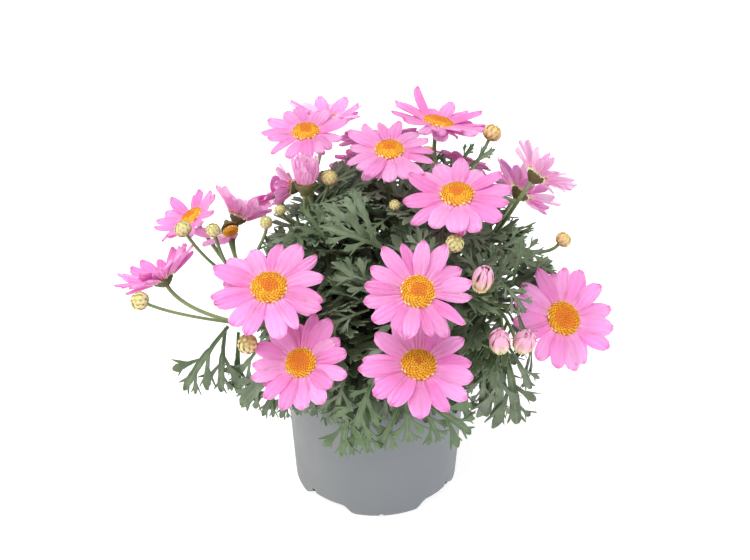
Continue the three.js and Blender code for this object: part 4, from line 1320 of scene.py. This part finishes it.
# The cup of the half open flower is wider and deeper.
HALF_OPEN_CUP_SHARE = 0.35
HALF_OPEN_DEEPER = 1.5
# A ring of scales on a cup: (count, radius, height, steepness, turn in steps, size, tone).
CUP_SCALE_RINGS = (
    (8, 0.26, -0.97, 40, 0.0, 0.5, 0.2),
    (12, 0.5, -0.75, 46, 0.5, 0.46, 0.25),
    (15, 0.75, -0.45, 55, 0.25, 0.44, 0.3),
)
# A ring of scales on a bud: (count, steepness, turn in steps, size, tone).
BUD_SCALE_RINGS = (
    (8, 30, 0.0, 0.95, 0.55), (10, 58, 0.5, 0.95, 0.75), (10, 84, 0.0, 0.9, 0.85), (7, 112, 0.5, 0.8, 1.0),
)


def copy_piece(template, matrix):
    """A copy that keeps the tones that its parts already have."""
    mesh = template.data.copy()
    mesh.transform(matrix)
    part = bpy.data.objects.new(template.name + "_copy", mesh)
    bpy.context.scene.collection.objects.link(part)
    return part


scale = new_strip("cup_scale", SCALE_ROWS, SCALE_WIDTHS, 2)
pick(scale, "verts", lambda vert: abs(vert.co.y) < 0.01)
bpy.ops.transform.translate(value=(0, 0, 0.03))
close_piece()
lay_map(scale, 0.6)
arch_piece(scale, SCALE_ROWS[1:-1], 50)
finish_with(scale, "SOLIDIFY", thickness=0.02, offset=0)
bpy.ops.object.shade_smooth_by_angle(angle=math.radians(60))

bpy.ops.object.select_all(action="DESELECT")
bpy.ops.mesh.primitive_uv_sphere_add(segments=16, ring_count=10, radius=1)
ball = bpy.context.object
ball.name = "bud_ball"
bpy.ops.object.shade_smooth()


def scale_ring(count, radius, height, steep, offset, size, tone):
    """A ring of scales of one size that climb steeply from a circle, each lying on the one below."""
    steep = math.radians(steep)
    along = Vector((math.cos(steep), 0, math.sin(steep)))
    outwards = Vector((math.sin(steep), 0, -math.cos(steep)))
    laid = leaf_frame(Vector((radius, 0, height)) + outwards * 0.01, along, outwards)
    ring = []
    for index in range(count):
        turn = Matrix.Rotation(math.tau * (index + offset) / count, 4, "Z")
        ring.append(copy_of(scale, turn @ laid @ Matrix.Scale(size, 4), tone))
    return ring


def ball_ring(count, steep, offset, size, tone):
    """A ring of scales that lie on a ball of radius 1."""
    angle = math.radians(steep)
    return scale_ring(count, math.sin(angle), -math.cos(angle), steep - 3, offset, size, tone)


bpy.ops.object.select_all(action="DESELECT")
bpy.ops.mesh.primitive_circle_add(
    vertices=CUP_SIDES, radius=CUP_RINGS[0][0], fill_type="TRIFAN", location=(0, 0, CUP_RINGS[0][1])
)
bpy.ops.object.transform_apply(location=True, rotation=False, scale=False)
cup = bpy.context.object
open_piece(cup)
pick(cup, "edges", lambda edge: edge.is_boundary)
draw_rings(CUP_RINGS, CUP_RINGS[0][1], 1)
bpy.ops.mesh.edge_face_add()
bpy.ops.mesh.select_all(action="SELECT")
bpy.ops.mesh.normals_make_consistent(inside=False)
close_piece()
bpy.ops.object.shade_smooth_by_angle(angle=math.radians(60))
cup_parts = [copy_of(cup, Matrix.Identity(4), 0.2)]
for ring in CUP_SCALE_RINGS:
    cup_parts += scale_ring(*ring)
cup_template = join_pieces("cup_template", cup_parts)
bpy.data.objects.remove(cup)

bud_parts = [copy_of(ball, Matrix.Diagonal((0.98, 0.98, 0.98, 1)), 0.9)]
for ring in BUD_SCALE_RINGS:
    bud_parts += ball_ring(*ring)
bud_template = join_pieces("bud_template", bud_parts)

scale_skin, tree, surface = new_material("scale_skin", 0.6, 0.3)
place = object_place(tree)
_, _, across = own_map_on(tree)
from_rib = from_rib_on(tree, across)
tone = tone_on(tree)
green_scale = ramp_on(tree, from_rib, [
    (0.0, (0.1, 0.105, 0.035)), (0.25, (0.14, 0.13, 0.05)),
    (0.36, (0.09, 0.065, 0.035)), (0.42, (0.17, 0.14, 0.07)),
])
cream_scale = ramp_on(tree, from_rib, [
    (0.0, (0.74, 0.6, 0.38)), (0.3, (0.8, 0.64, 0.44)),
    (0.4, (0.5, 0.32, 0.19)), (0.46, (0.86, 0.72, 0.53)),
])
blush = ramp_on(tree, tone, [(0.5, (0.75, 0.68, 0.5)), (0.75, (1, 0.97, 0.92)), (1.0, (0.85, 0.98, 0.65))])
cream_scale = mix_on(tree, "MULTIPLY", 1.0, cream_scale, blush)
cream_share = ramp_on(tree, tone, [(0.35, (0, 0, 0)), (0.6, (1, 1, 1))])
tint = mix_on(tree, "MIX", cream_share, green_scale, cream_scale)
mottle = ramp_on(tree, noise_on(tree, place, 500.0), [(0.3, (0.8, 0.8, 0.75)), (0.7, (1.15, 1.15, 1.1))])
tint = mix_on(tree, "MULTIPLY", 1.0, tint, mottle)
ripe_stops = [(0.42, (1.08, 0.88, 0.78)), (0.58, (0.97, 1.02, 0.95))]
ripeness = ramp_on(tree, noise_on(tree, place, 16.0, 1.0), ripe_stops)
tree.links.new(mix_on(tree, "MULTIPLY", 1.0, tint, ripeness), surface.inputs["Base Color"])
let_light_through(surface, 0.15, (0.001, 0.001, 0.0005))
add_bump(tree, surface, noise_on(tree, place, 900.0), 0.0002)

for name in SHOOTS:
    parts = []
    for flower, (shoot, middle, towards, lean, radius, _, _) in FLOWERS.items():
        if shoot == name:
            facing = leaning(towards, lean)
            matrix = axis_frame(Vector(middle) - facing * CUP_DROP, facing)
            width = radius * MM * (HALF_OPEN_CUP_SHARE if flower == "half_open" else CUP_SHARE)
            depth = CUP_DEPTH * MM * (HALF_OPEN_DEEPER if flower == "half_open" else 1)
            parts.append(copy_piece(cup_template, matrix @ Matrix.Diagonal((width, width, depth, 1))))
    for shoot, middle, radius, towards, lean in GREEN_BUDS:
        if shoot == name:
            matrix = axis_frame(middle, leaning(towards, lean), radius)
            parts.append(copy_piece(bud_template, matrix @ Matrix.Scale(radius * 0.97 * MM, 4)))
    cups = join_pieces("cups_" + name, parts)
    cups.data.materials.clear()
    cups.data.materials.append(scale_skin)
    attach(cups, "root")
    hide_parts("shoot_" + name)

# Opening buds: the scales have parted and the folded pink petals push up between them, broad and
# upright like a tulip, cream at their feet and pink above. Each rests on its own stalk.
# Petals stand in two rings. All sizes here are shares of the bud's radius.
OPENING_BLADES = 14
BLADE_FOOT = 0.56
BLADE_FOOT_INNER = 0.2
BLADE_SINK = 1.15
BLADE_STEEPNESS = (65, 71)
BLADE_STEEPER_INNER = 6
BLADE_LENGTHS = (2.3, 2.65)
BLADE_WIDTH = 2.6
BLADE_CURL = 2.5
CORE_RADIUS = 0.78
CORE_HEIGHT = 1.05
SCALES_DROP = 0.22
SCALES_RADIUS = 0.92
# The rings of scales that have parted: (count, steepness, turn in steps, size).
PARTED_SCALE_RINGS = ((9, 30, 0.0, 0.7), (10, 52, 0.5, 0.6))
bud_petal_skin, tree, surface = new_material("bud_petal_skin", 0.6, 0.25)
own_map, along, across = own_map_on(tree)
blush = ramp_on(tree, along, [
    (0.15, (0.8, 0.7, 0.42)), (0.45, (0.92, 0.66, 0.56)),
    (0.65, (0.95, 0.46, 0.62)), (1.0, (0.93, 0.46, 0.66)),
])
rim_stops = [(0.0, (1.05, 1.05, 1.05)), (0.34, (1, 1, 1)), (0.44, (0.92, 0.72, 0.78))]
rim = ramp_on(tree, from_rib_on(tree, across), rim_stops)
tree.links.new(mix_on(tree, "MULTIPLY", 1.0, blush, rim), surface.inputs["Base Color"])
let_light_through(surface, 0.3, (0.002, 0.001, 0.0012), 1.0)
add_bump(tree, surface, noise_on(tree, streaks_on(tree, own_map), 2.0, 2.0), 0.0002)
for name, (_, middle, radius, towards, lean) in OPENING_BUDS.items():
    matrix = axis_frame(middle, leaning(towards, lean), radius + towards)
    size = radius * MM
    blades = []
    for index in range(OPENING_BLADES):
        inner = index % 2
        out = BLADE_FOOT - BLADE_FOOT_INNER * inner
        angle = math.tau * (index + luck.uniform(-0.2, 0.2)) / OPENING_BLADES
        steep = math.radians(luck.uniform(*BLADE_STEEPNESS) + BLADE_STEEPER_INNER * inner)
        length = size * luck.uniform(*BLADE_LENGTHS)
        set_here = (
            Matrix.Rotation(angle, 4, "Z")
            @ Matrix.Translation((out * size, 0, -BLADE_SINK * size))
            @ Matrix.Rotation(-steep, 4, "Y")
            @ Matrix.Diagonal((length, size * BLADE_WIDTH, -size * BLADE_CURL, 1))
        )
        blades.append(copy_of(petal_templates["bud"], matrix @ set_here, luck.random()))
    petals = join_pieces(name + "_petals", blades)
    petals.data.materials.clear()
    petals.data.materials.append(bud_petal_skin)
    open_piece(petals)
    bpy.ops.mesh.select_all(action="SELECT")
    bpy.ops.mesh.normals_make_consistent(inside=False)
    close_piece()
    core = Matrix.Diagonal((CORE_RADIUS * size, CORE_RADIUS * size, CORE_HEIGHT * size, 1))
    rings = [copy_of(ball, matrix @ core, 0.3)]
    lowered = matrix @ Matrix.Translation((0, 0, -SCALES_DROP * size)) @ Matrix.Scale(size * SCALES_RADIUS, 4)
    for ring in PARTED_SCALE_RINGS:
        for part in ball_ring(*ring, 0.6):
            part.data.transform(lowered)
            rings.append(part)
    scales = join_pieces(name + "_scales", rings)
    scales.data.materials.clear()
    scales.data.materials.append(scale_skin)
    for piece in (petals, scales):
        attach(piece, "root")
        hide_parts(name)
for template in list(petal_templates.values()) + [scale, ball, cup_template, bud_template]:
    bpy.data.objects.remove(template)

# Surroundings: a pale matt table top and wide soft lamps above, beside and in front of the plant.
# A lamp is (place, size, power in watts), and all of them point at the middle of the plant.
LAMPS = (((-0.25, -0.4, 1.6), 1.6, 27), ((-1.2, -0.5, 0.5), 0.8, 6), ((1.1, -0.6, 0.35), 0.8, 4))
LAMP_AIM = Vector((0, 0, 0.15))
bpy.ops.object.select_all(action="DESELECT")
bpy.ops.mesh.primitive_plane_add(size=12)
table = bpy.context.object
table.name = "table_top"
card, tree, surface = new_material("pale_card", 0.9, 0.1)
card_stops = [(0.0, (0.62, 0.62, 0.62)), (1.0, (0.66, 0.66, 0.66))]
grey = ramp_on(tree, noise_on(tree, object_place(tree), 4.0), card_stops)
tree.links.new(grey, surface.inputs["Base Color"])
surface.inputs["Emission Color"].default_value = (1, 1, 1, 1)
surface.inputs["Emission Strength"].default_value = 0.72
table.data.materials.append(card)

sky = bpy.data.worlds.new("studio")
sky.use_nodes = True
sky.node_tree.nodes["Background"].inputs["Color"].default_value = (1, 1, 1, 1)
sky.node_tree.nodes["Background"].inputs["Strength"].default_value = 0.5
bpy.context.scene.world = sky
for spot, size, power in LAMPS:
    lamp = bpy.data.objects.new("lamp", bpy.data.lights.new("lamp", "AREA"))
    lamp.data.size = size
    lamp.data.energy = power
    lamp.location = spot
    lamp.rotation_euler = (LAMP_AIM - Vector(spot)).to_track_quat("-Z", "Y").to_euler()
    bpy.context.scene.collection.objects.link(lamp)
